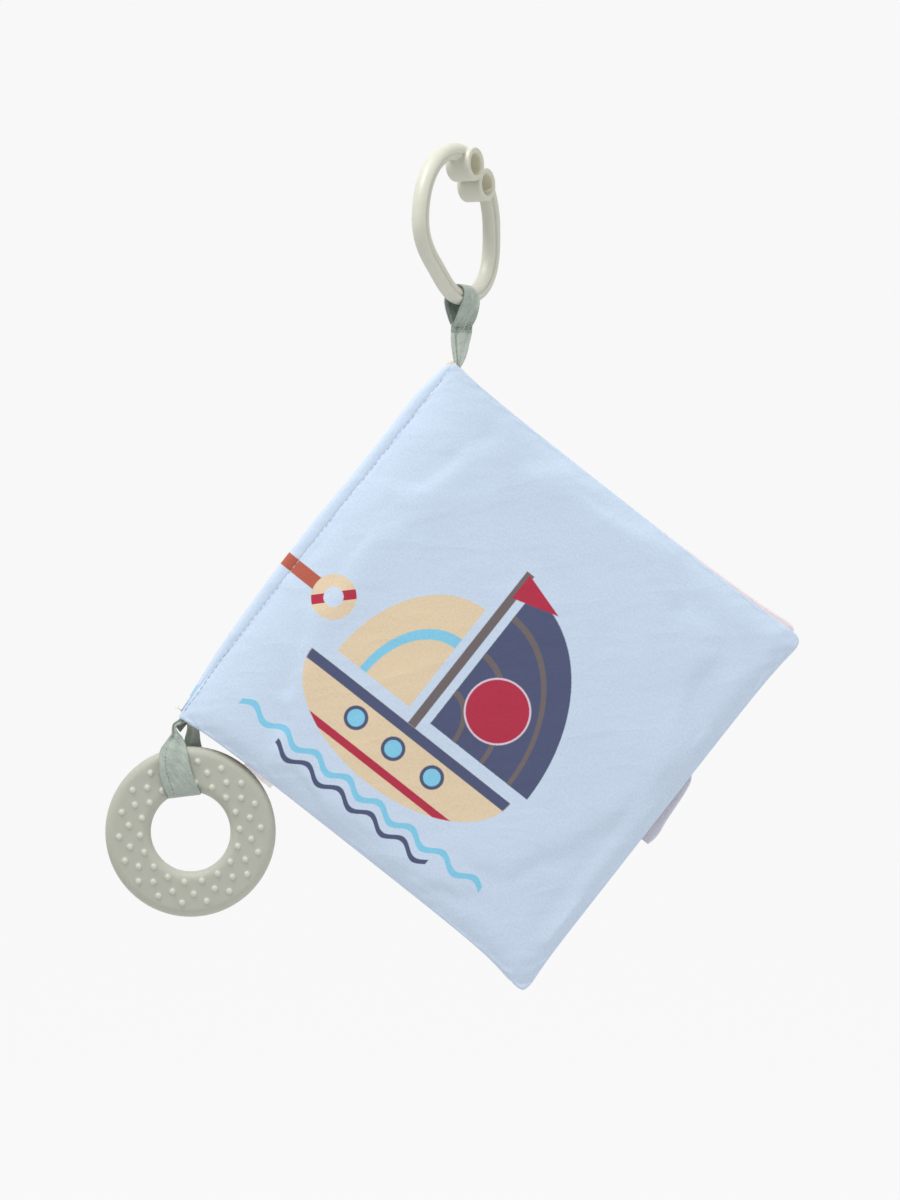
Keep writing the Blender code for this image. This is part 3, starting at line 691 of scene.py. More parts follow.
reach = RING_RADIUS + BAR_RADIUS - BARREL_RADIUS - BARREL_GAP
apart = 2 * math.asin((2 * BARREL_RADIUS + BARREL_GAP) / (2 * reach))
swing = math.acos((RING_RADIUS**2 + reach**2 - (BARREL_RADIUS - BAR_INTO_BARREL) ** 2) / (2 * RING_RADIUS * reach))
first, last = BARREL_ANGLE + swing, BARREL_ANGLE - apart - swing + 2 * math.pi
rings = []
for i in range(BAR_STATIONS + 1):
    angle = first + (last - first) * i / BAR_STATIONS
    along = (ring_point(angle + 0.01) - ring_point(angle - 0.01)).normalized()
    inward = RING_NORMAL.cross(along)
    ring = []
    for j in range(SECTION_POINTS):
        turn = 2 * math.pi * j / SECTION_POINTS
        out = RING_NORMAL * math.cos(turn) + inward * math.sin(turn)
        ring.append(ring_point(angle) + out * BAR_RADIUS)
    rings.append(ring)
points = [p * MM for ring in rings for p in ring]
faces = skin(rings)

top = BARREL_LENGTH / 2
BARREL_PROFILE = (
    (0.05, -top), (3.4, -top), (5.1, -top + 0.1), (5.9, -top + 0.45), (6.3, -top + 1.1), (BARREL_RADIUS, -top + 1.8),
    (BARREL_RADIUS, top - 0.9), (6.25, top - 0.3), (5.9, top),
    (BORE_RADIUS + 0.45, top), (BORE_RADIUS + 0.1, top - 0.3),
    (BORE_RADIUS, top - 0.9), (BORE_RADIUS - 0.35, BARREL_FLOOR - top + 0.6), (BORE_RADIUS - 0.8, BARREL_FLOOR - top),
    (0.05, BARREL_FLOOR - top),
)
barrel_centres = []
for angle, slip in ((BARREL_ANGLE, 0), (BARREL_ANGLE - apart, BARREL_SLIP)):
    centre = RING_CENTRE + RING_ACROSS * (reach * math.cos(angle)) + UP * (reach * math.sin(angle))
    barrel_centres.append(centre - RING_NORMAL * slip)
    barrel = turned(BARREL_PROFILE, barrel_centres[-1], RING_NORMAL, 64)
    base = len(points)
    points += [p * MM for ring in barrel for p in ring]
    faces += [tuple(base + i for i in face) for face in skin(barrel)]

# %% Melt the ring into one moulding
RING_VOXEL = 0.27
ring_piece = outward(new_piece("clip_ring", points, faces, [RING_PLASTIC]))
remesh = ring_piece.modifiers.new("melt", "REMESH")
remesh.mode, remesh.voxel_size = "VOXEL", RING_VOXEL * MM
soften = ring_piece.modifiers.new("soften", "SMOOTH")
soften.factor, soften.iterations = 0.5, 2
ring_piece = evaluated_copy(ring_piece, "clip_ring")

# %% Press the mould line into the bar
# The line sways from one side of the bar to the other round the ring: its middle, sway and turn
GROOVE_AT, GROOVE_SWAY, GROOVE_TURN = math.radians(4), math.radians(24), math.radians(35)
GROOVE_DEPTH, GROOVE_HALF = 0.6, 0.15  # in mm, and in radians of the section
STEP_DEPTH = 0.32


def ring_reach(angle):
    """How far the bar's centreline is from the ring's centre, in mm."""
    return (ring_point(angle) - RING_CENTRE).length


def press_mould_line(piece):
    """Where the mould's halves met there is a fine groove, and the bar is a little thinner inside it."""
    for vertex in piece.data.vertices:
        spot = vertex.co / MM - RING_CENTRE
        across, up, ahead = spot.dot(RING_ACROSS), spot.z, spot.dot(RING_NORMAL)
        angle = math.atan2(up, across)
        inward = ring_reach(angle) - math.hypot(across, up)
        off_end = min((angle - first) % (2 * math.pi), (last - angle) % (2 * math.pi))
        if off_end > math.pi or abs(math.hypot(inward, ahead) - BAR_RADIUS) > 0.5:
            continue
        off = math.atan2(inward, ahead) - GROOVE_AT - GROOVE_SWAY * math.cos(angle - GROOVE_TURN)
        depth = GROOVE_DEPTH * math.exp(-((off / GROOVE_HALF) ** 2))
        depth += STEP_DEPTH * ease(off / 0.12 + 0.5) * (1 - ease((off - 1.2) / 0.6))
        outward_now = RING_NORMAL * ahead - (RING_ACROSS * across + UP * up).normalized() * inward
        vertex.co -= outward_now.normalized() * (depth * ease(off_end / 0.12) * MM)
    piece.data.update()


press_mould_line(ring_piece)

# %% Paint the bores
# The bores are painted paler, with a faint glow, for the light that comes through the barrels' thin walls.
ring_piece.data.materials.clear()
ring_piece.data.materials.append(RING_PLASTIC)
ring_piece.data.materials.append(BORE_PAINTED_LIGHT)
for polygon in ring_piece.data.polygons:
    for centre in barrel_centres:
        spot = polygon.center / MM - centre
        along = spot.dot(RING_NORMAL)
        if abs(along) < BARREL_LENGTH / 2 - 0.3 and (spot - RING_NORMAL * along).length < BORE_RADIUS + 0.25:
            polygon.material_index = 1
ring_piece.data.shade_smooth()
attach(ring_piece, "ring")
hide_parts("hang_ring")
print("Clip ring:", triangles(ring_piece), "triangles")

# %% [markdown]
# ## The leaves of the book
#
# A leaf is two panels of brushed cloth sewn face to face, turned out and stuffed with a thin
# wadding and a film that crackles. That makes a flat pillow. Each pillow starts as a grid of
# points on both faces with a rounded seam all round, and a cloth simulation blows it up a little,
# so that the cloth finds its own soft swell and puckers. How far a point may move is capped, so
# that each leaf stays between its neighbours.

# %% Leaf sizes
BOOK_WIDTH, BOOK_HEIGHT = 164.6, 166.2
LEAF_CROWN, LEAF_PITCH, SPINE_PITCH = 4.5, 4.8, 2.1
CROWN_RUN = 10.0
OUTER_PUFF = 1.3  # how much further than the CAD a cover swells on its outer side
WELT_AT, WELT_WIDTH, WELT_HEIGHT = 4.6, 2.7, 0.12  # the seam allowance that lies folded inside the edge
SEAM_HALF = 0.75
GRID = 72
PAGE_NARROWER = 3.8
LEAVES = {
    # side, where the leaf starts from the spine, how far its fore corner fans up, how much narrower it is
    "front_cover": (-1, -1.3, 0.0, 0.0),
    "page": (0, 1.75, 2.3, PAGE_NARROWER),
    "back_cover": (1, -1.3, 0.0, 0.0),
}


def swell(distance):
    """How full a leaf is at a distance from a seam: steep at the seam, then level."""
    return math.sin(math.pi / 2 * min(1, max(0, distance) / CROWN_RUN)) ** 0.6


def welt(distance):
    """The low ridge that the folded seam allowance makes beside an edge."""
    return WELT_HEIGHT * math.exp(-(((distance - WELT_AT) / WELT_WIDTH) ** 2))


# %% Leaf outline
TOP_DRAW, FOOT_DRAW = 1.6, 1.2  # how far the seams draw the long edges in
EAR_OUT, EAR_DOWN, EAR_UP = 2.0, 3.0, 2.4  # how far the turned-out corners stand past the edges
CORNER_ROUND = 1.7  # how far a corner is drawn in, which rounds it
FOOT_PULL = 1.3  # how far the spine's lower corner is drawn in
FORE_EDGE = 163.1


def outline(leaf, s, t):
    """Where share s across and t down a leaf lies in the book's millimetres."""
    _, start, fan, narrower = leaf
    plateau = 1 - abs(2 * s - 1) ** 6
    low_ear = (s**12 + 0.35 * (1 - s) ** 12) * t**12
    fore = FORE_EDGE + EAR_UP * (1 - t) ** 14 + 0.5 * ease(t) + EAR_OUT * t**24 - narrower
    across = start + s * (fore - start) + FOOT_PULL * (1 - s) ** 20 * t**24
    down = t * BOOK_HEIGHT + plateau * (TOP_DRAW * (1 - t) - FOOT_DRAW * t) + EAR_DOWN * low_ear
    down -= fan * s**3 * (1 - t)
    corner_s = max(0, (s - 0.965) / 0.035)
    corner_t = max(0, (abs(2 * t - 1) - 0.93) / 0.07)
    pull = CORNER_ROUND * (corner_s * corner_t) ** 1.8
    return across - pull, down - math.copysign(pull, t - 0.5)


def even(count):
    """Shares of a run that crowd a little towards both ends, where the cloth turns."""
    waves = [math.cos(math.pi * i / count) for i in range(count + 1)]
    return [0.5 - 0.5 * math.copysign(abs(wave) ** 0.72, wave) for wave in waves]


SHARES = even(GRID)
RIM_TURNS = (30, 65, 90, 115, 150)
BACK_FLAT_START = -18.0  # where the back cover starts on the one cloth that covers the book


def flat_place(name, across, down):
    """A point's place on the flat cloth. The back cover lies beyond the spine's fold on it."""
    return (BACK_FLAT_START - across, down) if name == "back_cover" else (across, down)


def leaf_mesh(name, materials, fullness):
    """A closed pillow: both faces as grids, joined by a rounded rim."""
    side = LEAVES[name][0]
    points, flat, faces, slots = [], [], [], []
    size = GRID + 1
    for face in (-1, 1):
        for t in SHARES:
            for s in SHARES:
                across, down = outline(LEAVES[name], s, t)
                insets = (s * BOOK_WIDTH, (1 - s) * BOOK_WIDTH, min(t, 1 - t) * BOOK_HEIGHT)
                full = swell(insets[0] * 0.5) * swell(insets[1]) * swell(insets[2])
                middle = side * (SPINE_PITCH + (LEAF_PITCH - SPINE_PITCH) * swell(insets[0] * 0.4))
                puff = OUTER_PUFF if face == side else 0.0
                half = SEAM_HALF + (LEAF_CROWN / 2 * fullness + puff - SEAM_HALF) * full
                half += welt(min(insets[1:])) * swell(insets[0])
                points.append(on_book(across, middle + face * half, down))
                flat.append(flat_place(name, across, down))
        base = 0 if face == -1 else size * size
        for j in range(GRID):
            for i in range(GRID):
                a = base + j * size + i
                quad = (a, a + 1, a + size + 1, a + size)
                faces.append(quad[::-face])
                slots.append(0 if face == -1 else 1)
    border = list(range(GRID)) + [j * size + GRID for j in range(GRID)]
    border += [GRID * size + i for i in range(GRID, 0, -1)] + [j * size for j in range(GRID, 0, -1)]
    rows = [border]
    for turn in RIM_TURNS:
        row = []
        for k, index in enumerate(border):
            front, back = points[index], points[index + size * size]
            before, after = points[border[k - 1]], points[border[(k + 1) % len(border)]]
            out = (after - before).cross(THROUGH).normalized()
            angle = math.radians(turn)
            half = (back - front).length / 2
            middle = (front + back) / 2
            row.append(len(points))
            points.append(middle + out * (half * 0.9 * math.sin(angle)) - THROUGH * (half * math.cos(angle)))
            flat.append(flat[index])
        rows.append(row)
    rows.append([index + size * size for index in border])
    for near, far in zip(rows, rows[1:]):
        for k in range(len(border)):
            m = (k + 1) % len(border)
            faces.append((near[k], near[m], far[m], far[k]))
            slots.append(0 if rows.index(near) < 3 else 1)
    return outward(new_piece(name, points, faces, materials, slots, flat))


# %% Blow up a leaf
SIM_FRAMES = 20
SIM_PRESSURE = 0.9
OUTER_CAP, INNER_CAP = 0.7, 0.25  # in mm: a leaf may swell more outwards than towards its neighbour
STARTING_FULLNESS = 0.84


def blow_up(piece, name):
    """Cloth simulation with pressure inside, applied with a cap on how far a point moves."""
    rest = np.array([v.co for v in piece.data.vertices])
    held = piece.vertex_groups.new(name="held")
    rim = GRID + 1
    fixed = [i for i in range(2 * rim * rim) if i % rim in (0, GRID) or (i // rim) % rim in (0, GRID)]
    held.add(fixed + list(range(2 * rim * rim, len(rest))), 1.0, "REPLACE")
    cloth = piece.modifiers.new("blow up", "CLOTH")
    settings = cloth.settings
    settings.quality = 6
    settings.mass = 0.05
    settings.tension_stiffness = settings.compression_stiffness = 20
    settings.shear_stiffness = 8
    settings.bending_stiffness = 0.4
    settings.use_pressure = True
    settings.uniform_pressure_force = SIM_PRESSURE
    settings.vertex_group_mass = "held"
    settings.effector_weights.gravity = 0
    settings.shrink_min = -0.012
    cloth.collision_settings.use_collision = False
    for step in range(1, SIM_FRAMES + 1):
        bpy.context.scene.frame_set(step)
    graph = bpy.context.evaluated_depsgraph_get()
    posed = piece.evaluated_get(graph).to_mesh()
    blown = np.array([v.co for v in posed.vertices])
    piece.modifiers.remove(cloth)
    bpy.context.scene.frame_set(1)
    piece.vertex_groups.remove(held)
    move = blown - rest
    length = np.maximum(np.linalg.norm(move, axis=1), 1e-9)
    print(f"{name}: the cloth moved {length.max() / MM:.2f} mm at most, {length.mean() / MM:.2f} on average")
    caps = np.full(len(rest), INNER_CAP * MM)
    side = LEAVES[name][0]
    outer = slice(0, rim * rim) if side < 0 else slice(rim * rim, 2 * rim * rim)
    if side:
        caps[outer] = OUTER_CAP * MM
    scale = caps * np.tanh(length / caps) / length
    piece.data.vertices.foreach_set("co", (rest + move * scale[:, None]).ravel())
    piece.data.update()


# %% Make the leaves
LEAF_CLOTHS = {
    "front_cover": (PRINTED_CLOTH, BEIGE_CLOTH),
    "page": (PINK_CLOTH, LILAC_CLOTH),
    "back_cover": (PINK_CLOTH, PRINTED_CLOTH),
}
leaves = {}
for name in LEAVES:
    leaf = leaf_mesh(name, LEAF_CLOTHS[name], STARTING_FULLNESS)
    blow_up(leaf, name)
    leaves[name] = leaf
    print(name, triangles(leaf), "triangles")

# %% Soft creases
CREASE_HEIGHT = 0.42
RIDGE_FROM, RIDGE_TO, RIDGE_INSET = 126.0, 153.0, 2.9  # a harder fold of the seam allowance by the fore corner
RIDGE_HEIGHT, RIDGE_HALF = 0.65, 1.4
VALLEY_FROM, VALLEY_INSET = 60.0, 9.0  # the dip inside it, where the wadding stops short
VALLEY_DEPTH, VALLEY_HALF = 0.55, 3.5
PUCKER_HEIGHT, PUCKER_FADE = 0.13, 5.0  # how high the puckers are, and how far in they fade
SEAM_CALM = 9.0  # the creases start only this far inside the seams


def crease(piece, seed, amount):
    """Shallow wandering creases and small puckers along the seams, moved in the cloth's own direction."""
    mesh = piece.data
    normals = [v.normal.copy() for v in mesh.vertices]
    for vertex, normal in zip(mesh.vertices, normals):
        local = vertex.co - CORNER
        x, y = local.dot(ALONG_TOP) / MM, local.dot(DOWN_SPINE) / MM
        inset = max(0.0, min(x, FORE_EDGE - x, y, BOOK_HEIGHT - y))
        inside = ease(inset / SEAM_CALM)
        wander = noise.noise(Vector((x / 38 + seed, y / 26, seed * 3.1)))
        slanted = Vector(((x + y) / 62, (x - y) / 24, 5.7 + seed))
        ridge = max(0.0, 1 - abs(noise.noise(slanted)) * 5)
        pucker = math.sin((x + y) * 0.8 + 2 * wander) * PUCKER_HEIGHT * math.exp(-inset / PUCKER_FADE) * ease(inset / 1.5)
        fold = RIDGE_HEIGHT * math.exp(-(((FORE_EDGE - x - RIDGE_INSET) / RIDGE_HALF) ** 2))
        fold *= ease((y - RIDGE_FROM) / 4) * ease((RIDGE_TO - y) / 8)
        valley = VALLEY_DEPTH * math.exp(-(((FORE_EDGE - x - VALLEY_INSET) / VALLEY_HALF) ** 2))
        fold -= valley * ease((y - VALLEY_FROM) / 60) * ease((BOOK_HEIGHT - 8 - y) / 20)
        vertex.co += normal * ((wander * 0.7 + ridge * 0.6) * amount * inside + pucker + fold) * MM
    mesh.update()


for number, (name, leaf) in enumerate(leaves.items()):
    crease(leaf, 2.3 * number + 1.1, CREASE_HEIGHT if name != "page" else CREASE_HEIGHT / 3)
    smooth = leaf.modifiers.new("finer", "SUBSURF")
    smooth.levels = smooth.render_levels = 1
    leaves[name] = evaluated_copy(leaf, name)
    leaves[name].data.shade_smooth()

# %% Bake the leaves in place and hide their CAD parts
HINGE_SOFT = 9.0
HINGE_DOWN = 80.0  # about halfway down the spine
REPLACED = {
    "front_cover": (
        "front_cover_outer_panel", "front_cover_inner_panel", "front_cover_wadding",
        "front_cover_crinkle_film",
    ),
    "page": ("page_front_panel", "page_back_panel", "page_wadding", "page_crinkle_film"),
    "back_cover": ("back_cover_inner_panel", "back_cover_outer_panel", "back_cover_wadding", "back_cover_crinkle_film"),
}
for name, leaf in leaves.items():
    start = LEAVES[name][1]
    on_book(start, 0, HINGE_DOWN)
    on_book(start + HINGE_SOFT, 0, HINGE_DOWN)
    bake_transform(leaf)
    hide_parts(*REPLACED[name])

# %% [markdown]
# ## The spine
#
# The cover cloth runs on round the back of the book as a soft padded fold outside the row of
# stitches. It is narrower at its two ends, where the seams draw it in. The fold is a skin over
# rounded sections that follow that width.

# %% Spine fold
STITCH_AT = -1.3
# How far the fold stands out past the stitches, at even steps down the spine
SPINE_DEPTHS = (2.3, 4.3, 4.4, 4.5, 4.65, 5.0, 4.95, 4.8, 4.25, 3.45, 2.0, 0.1)
SPINE_HALF = 3.0
SPINE_END_ROUND = 2.4
SPINE_STATIONS = 110
SPINE_POINTS = 28
FOLD_ARC = 16.7  # the cloth that goes round the fold, from one row of stitches to the other


def spine_section(depth, half, down, start=STITCH_AT):
    """One section of the fold, from the front seam round the back and closed on the inside."""
    row, flat = [], []
    for i in range(SPINE_POINTS + 1):
        angle = math.pi * i / SPINE_POINTS
        bulge = abs(math.sin(angle)) ** 0.82
        y = -(half + 0.25 * math.sin(angle) ** 2) * math.cos(angle) * (0.9 + 0.1 * bulge)
        row.append(on_book(start - depth * bulge, y, down))
        flat.append((start - FOLD_ARC * i / SPINE_POINTS, down))
    for y in (0.5, -0.5):
        row.append(on_book(start + 0.5, y * half, down))
        flat.append((start, down))
    return row, flat


def spine_skin(name, depths, half, start, top, foot, cloth):
    """A fold skinned over sections whose depths are spread evenly from its top to its foot."""
    count = len(depths)
    rows, flats = [], []
    for i, depth in enumerate(depths):
        down = top + (foot - top) * i / (count - 1)
        short = max(0.0, 1 - (down - top) / SPINE_END_ROUND)
        wave = noise.noise(Vector((down / 30, 3.3, 0))) * 0.22 + noise.noise(Vector((down / 9, 7.1, 0))) * 0.07
        row, flat = spine_section((depth + wave) * math.sqrt(1 - 0.6 * short**2), half, down, start)
        rows.append(row)
        flats += flat
    return outward(new_piece(name, [p for row in rows for p in row], skin(rows), [cloth], None, flats))


spine = spine_skin(
    "spine_fold", [float(v) for v in spline(SPINE_DEPTHS, SPINE_STATIONS)], SPINE_HALF, STITCH_AT, 0.7,
    BOOK_HEIGHT - 0.9, PRINTED_CLOTH,
)
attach(spine, "book")
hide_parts("spine_fabric", "spine_wadding")
print("Spine fold:", triangles(spine), "triangles")

# The inner panels' cloth is folded inside the spine too, and one corner of it shows above the fold.
inner_fold = spine_skin("inner_fold", [3.5 - 0.1 * i for i in range(16)], 1.9, -0.7, -0.75, 7.0, BEIGE_CLOTH)
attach(inner_fold, "book")

# %% [markdown]
# ## Folded strips
#
# Both straps are a strip of thin woven cloth folded in half along its length and stitched along
# the open edge. The skin's section is that fold: out along one ply, round the fold and back along
# the other, with a thin slit left between the plies. A path carries the section along.

# %% Folded strip
PLY = 0.36
SLIT = 0.08
PLY_POINTS = 25


def strip_section(width):
    """(across, through) points of a folded strip's section, with its open edge at minus."""
    half, outer, inner = width / 2, PLY + SLIT / 2, SLIT / 2
    run = [i / (PLY_POINTS - 1) for i in range(PLY_POINTS)]
    section = [(-half + (2 * half - outer) * r, -outer) for r in run]
    section += [(half - outer + outer * math.cos(a), outer * math.sin(a)) for a in (-0.9, 0, 0.9)]
    section += [(half - outer - (2 * half - outer) * r, outer) for r in run]
    section += [(-half + (2 * half - outer) * r, inner) for r in run]
    section += [(half - outer - (2 * half - outer) * r, -inner) for r in run]
    return section


def folded_strip(name, stations, pleat, materials):
    """A strip along stations of (centre, across, through, width in mm, pleat height in mm, place)."""
    rings, flat, travelled, before = [], [], 0.0, None
    for centre, across, through, width, depth, spot in stations:
        if before is not None:
            travelled += (centre - before).length / MM
        before = centre
        ring = []
        for i, (a, h) in enumerate(strip_section(width)):
            wave = depth * pleat(a / width, spot)
            ring.append(centre + (across * a + through * (h + wave)) * MM)
            far = i < PLY_POINTS or i >= 3 * PLY_POINTS + 3
            flat.append((a if far else width - a, travelled))
        rings.append(ring)
    piece = new_piece(name, ring_points(rings), skin(rings), materials, None, flat)
    print(name, f"{travelled:.1f} mm long,", triangles(piece), "triangles")
    return outward(piece), travelled


def level(turn, tilt=0.0):
    """A direction across a strip, turned away from the picture plane and tilted in it, in degrees."""
    turn, tilt = math.radians(turn), math.radians(tilt)
    return Vector((math.cos(turn) * math.cos(tilt), math.sin(turn), math.sin(tilt)))


# %% [markdown]
# ## The hang strap
#
# The strap loops over the ring's bar. A bar tack of many small stitches gathers its two legs
# under the bar, and below it the doubled end twists and narrows into the book's corner.

# %% Hang strap
STRAP_WIDTH = 7.9
LOOP_RISE = BAR_RADIUS + 0.65
CROWN_STEPS, LEG_STEPS, TAIL_STEPS = 24, 26, 34
TACK_FROM, TACK_TO = 10.6, 13.4  # how far below the bar's middle the bar tack lies
# Each leg from the bar to the tack: right of the seat, in front of it, below it, and the turn of its cloth
FRONT_LEG = (
    (3.75, 2.1, 0.0, 49), (3.65, 2.6, 2.2, 35), (3.1, 2.7, 4.4, 24), (2.45, 2.3, 6.6, 15), (1.6, 1.5, 8.9, 8),
    (0.3, 0.62, 11.3, 3),
)
BACK_LEG = (
    (-3.2, -2.1, 0.0, 49), (-2.95, -2.5, 2.2, 38), (-2.3, -2.5, 4.4, 28), (-1.5, -2.0, 6.6, 18), (-0.7, -1.3, 8.9, 9),
    (0.3, -0.62, 11.3, 3),
)
# The doubled tail from the tack to the book: right, how far each side stands off the middle, below, width
TAIL = (
    (0.3, 0.62, 11.3, 8.0), (0.05, 0.56, 14.5, 7.9), (-0.3, 0.52, 17.8, 7.0), (-0.45, 0.5, 21.0, 5.9),
    (-0.8, 0.48, 24.3, 4.2), (-1.5, 0.44, 27.5, 1.9),
)


def strap_side(leg, side):
    """The stations of one side of the strap, from the bar down to the book."""
    part = []
    for x, ahead, drop, turn in spline(leg, LEG_STEPS):
        across = level(turn)
        out = Vector((across.y, -across.x, 0)) * side
        gather = 0.24 + 0.34 * math.exp(-(((drop - 12) / 3.2) ** 2))
        centre = SEAT + Vector((x, -ahead, -drop)) * MM
        part.append((centre, across, out, STRAP_WIDTH, gather * side, drop))
    for x, off, drop, width in spline(TAIL, TAIL_STEPS)[1:]:
        across = level(3)
        out = Vector((across.y, -across.x, 0)) * side
        gather = 0.26 + 0.26 * math.exp(-(((drop - 12) / 3.2) ** 2))
        centre = SEAT + Vector((x, -off * side, -drop)) * MM
        part.append((centre, across, out, width, gather * side, drop))
    return part


def strap_stations():
    front, back = strap_side(FRONT_LEG, 1), strap_side(BACK_LEG, -1)
    near, far = Vector((FRONT_LEG[0][0], -FRONT_LEG[0][1], 0)), Vector((BACK_LEG[0][0], -BACK_LEG[0][1], 0))
    crown = []
    for i in range(1, CROWN_STEPS):
        angle = math.pi * i / CROWN_STEPS
        across = level(49 + 11.6 * math.sin(angle))
        out = Vector((across.y, -across.x, 0)) * math.cos(angle) + UP * math.sin(angle)
        place_mm = (near + far) / 2 + (near - far) / 2 * math.cos(angle) + UP * (LOOP_RISE * math.sin(angle))
        width = STRAP_WIDTH * (1 - 0.13 * math.sin(angle))
        crown.append((SEAT + place_mm * MM, across, out, width, 0.1 * math.cos(angle), 0.0))
    return front[::-1] + crown + back


def strap_pleat(share, drop):
    """Small gathers at the bar tack, and one sharp fold that runs down the tail."""
    gathers = 0.8 * math.sin(13 * share + 0.1 * drop) + 0.4 * math.sin(29 * share - 0.15 * drop)
    gathers += 1.5 * noise.noise(Vector((share * 3.4 + 1.3, drop * 0.13, 4.2)))
    fold_at = -0.33 + 0.012 * (drop - TACK_TO)
    flap = 2.2 * (1 - ease((share - fold_at) / 0.05 + 0.5)) * ease((drop - TACK_TO) / 2)
    crease = 1.6 * math.exp(-(((share - fold_at - 0.05) / 0.04) ** 2)) * ease((drop - TACK_TO) / 2)
    return gathers + flap - crease


hang_strap, strap_length = folded_strip("hang_strap", strap_stations(), strap_pleat, [])
TACK_PLACE = (strap_length / 2, 19.4, 1.3)  # on the flat strip: its middle, and the tack's place from it and half
# The hang ribbon carries painted marks: a highlight on the tail, shadow in the bar tack and shade inside the loop.
HANG_RIBBON = woven_material("hang ribbon", colour(189, 200, 190), colour(152, 164, 154), 0.25, tack=TACK_PLACE)
hang_strap.data.materials.append(HANG_RIBBON)
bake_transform(hang_strap)
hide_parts("hang_strap_loop", "hang_strap_tail")

# %% [markdown]
# ## The teether and its strap
#
# The teether is one silicone moulding, a flat ring with rounded edges and three rows of small
# domes on each face. Geometry Nodes set the domes out: circles of points, one circle for each
# row, with a dome on each point. A remesh melts them into the ring, so that each dome has the soft
# foot of a moulded one.

# %% Teether body
TEETHER_RADIUS, HOLE_RADIUS, TEETHER_THICKNESS = 31.95, 15.0, 9.5
TEETHER_EDGE = 3.4
TEETHER_SIDES = 160


def rounded_section():
    points = []
    half = TEETHER_THICKNESS / 2 - TEETHER_EDGE
    spots = ((TEETHER_RADIUS - TEETHER_EDGE, -half, -90), (TEETHER_RADIUS - TEETHER_EDGE, half, 0),
             (HOLE_RADIUS + TEETHER_EDGE, half, 90), (HOLE_RADIUS + TEETHER_EDGE, -half, 180))
    for x, y, start in spots:
        for i in range(9):
            angle = math.radians(start + 90 * i / 8)
            points.append((x + TEETHER_EDGE * math.cos(angle), y + TEETHER_EDGE * math.sin(angle)))
    return points


rings = []
for i in range(TEETHER_SIDES):
    turn = 2 * math.pi * i / TEETHER_SIDES
    out = Vector((math.sin(turn), 0, math.cos(turn)))
    rings.append([TEETHER + (out * r + THROUGH * h) * MM for r, h in rounded_section()])
teether = outward(
    new_piece("teether_body", ring_points(rings), skin(rings, closed=True), [SILICONE])
)

# %% Domes by Geometry Nodes
DOME_RADIUS = 1.3
DOME_SUNK = 0.5
DOME_ROWS = ((18.7, 16.3), (23.1, 6.3), (26.6, 16.3))
DOME_COUNT = 18


def dome_tree():
    """Circles of points, each with a dome on it, on both faces of the teether."""
    tree = bpy.data.node_groups.new("teether domes", "GeometryNodeTree")
    tree.interface.new_socket("Geometry", in_out="INPUT", socket_type="NodeSocketGeometry")
    for name, value in (("Dome radius", DOME_RADIUS * MM), ("Face height", (TEETHER_THICKNESS / 2 - DOME_SUNK) * MM)):
        socket = tree.interface.new_socket(name, in_out="INPUT", socket_type="NodeSocketFloat")
        socket.default_value = value
    tree.interface.new_socket("Geometry", in_out="OUTPUT", socket_type="NodeSocketGeometry")
    build = Surface(tree)
    build.add("NodeGroupInput")
    body, radius, height = [Wire(build, socket) for socket in build.last.outputs[:3]]
    ball = build.add("GeometryNodeMeshIcoSphere", None, {"Radius": radius, "Subdivisions": 3})
    joined = build.add("GeometryNodeJoinGeometry", None, {0: body})
    join = build.last
    for row, start in DOME_ROWS:
        circle = build.add("GeometryNodeMeshCircle", None, {"Vertices": DOME_COUNT, "Radius": row * MM})
        for side in (-1, 1):
            dots = build.add("GeometryNodeMeshToPoints", None, {"Mesh": circle})
            domes = build.add("GeometryNodeInstanceOnPoints", None, {"Points": dots, "Instance": ball})
            turned_up = build.add(
                "GeometryNodeTransform", None,
                {"Geometry": domes, "Rotation": (math.pi / 2, math.radians(start), 0)},
            )
            lift = build.join(TEETHER.x, height * side + TEETHER.y, TEETHER.z)
            moved = build.add("GeometryNodeTransform", None, {"Geometry": turned_up, "Translation": lift})
            build.tree.links.new(moved.socket, join.inputs[0])
    real = build.add("GeometryNodeRealizeInstances", None, {0: joined})
    painted = build.add("GeometryNodeSetMaterial", None, {"Geometry": real, "Material": SILICONE})
    build.add("NodeGroupOutput", None, [painted])
    return tree


domes = teether.modifiers.new("domes", "NODES")
domes.node_group = dome_tree()
TEETHER_VOXEL = 0.36
melt = teether.modifiers.new("melt", "REMESH")
melt.mode, melt.voxel_size = "VOXEL", TEETHER_VOXEL * MM
soften = teether.modifiers.new("soften", "SMOOTH")
soften.factor, soften.iterations = 0.5, 2
teether = evaluated_copy(teether, "teether")

# %% Paint the domes
# The domes look paler than the face in the photograph, so their faces get their own material.
# Their paler faces are a painted highlight: a lighter copy of the silicone.
teether.data.materials.clear()
teether.data.materials.append(SILICONE)
teether.data.materials.append(DOME_PAINTED_HIGHLIGHT)
face_y = TEETHER_THICKNESS / 2 * MM
centres = np.zeros(len(teether.data.polygons) * 3)
teether.data.polygons.foreach_get("center", centres)
height = np.abs(centres.reshape(-1, 3)[:, 1] - TEETHER.y)
teether.data.polygons.foreach_set("material_index", (height > face_y + 0.22 * MM).astype(int))
teether.data.shade_smooth()
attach(teether, "teether")
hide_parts("teether_ring")
print("Teether:", triangles(teether), "triangles")

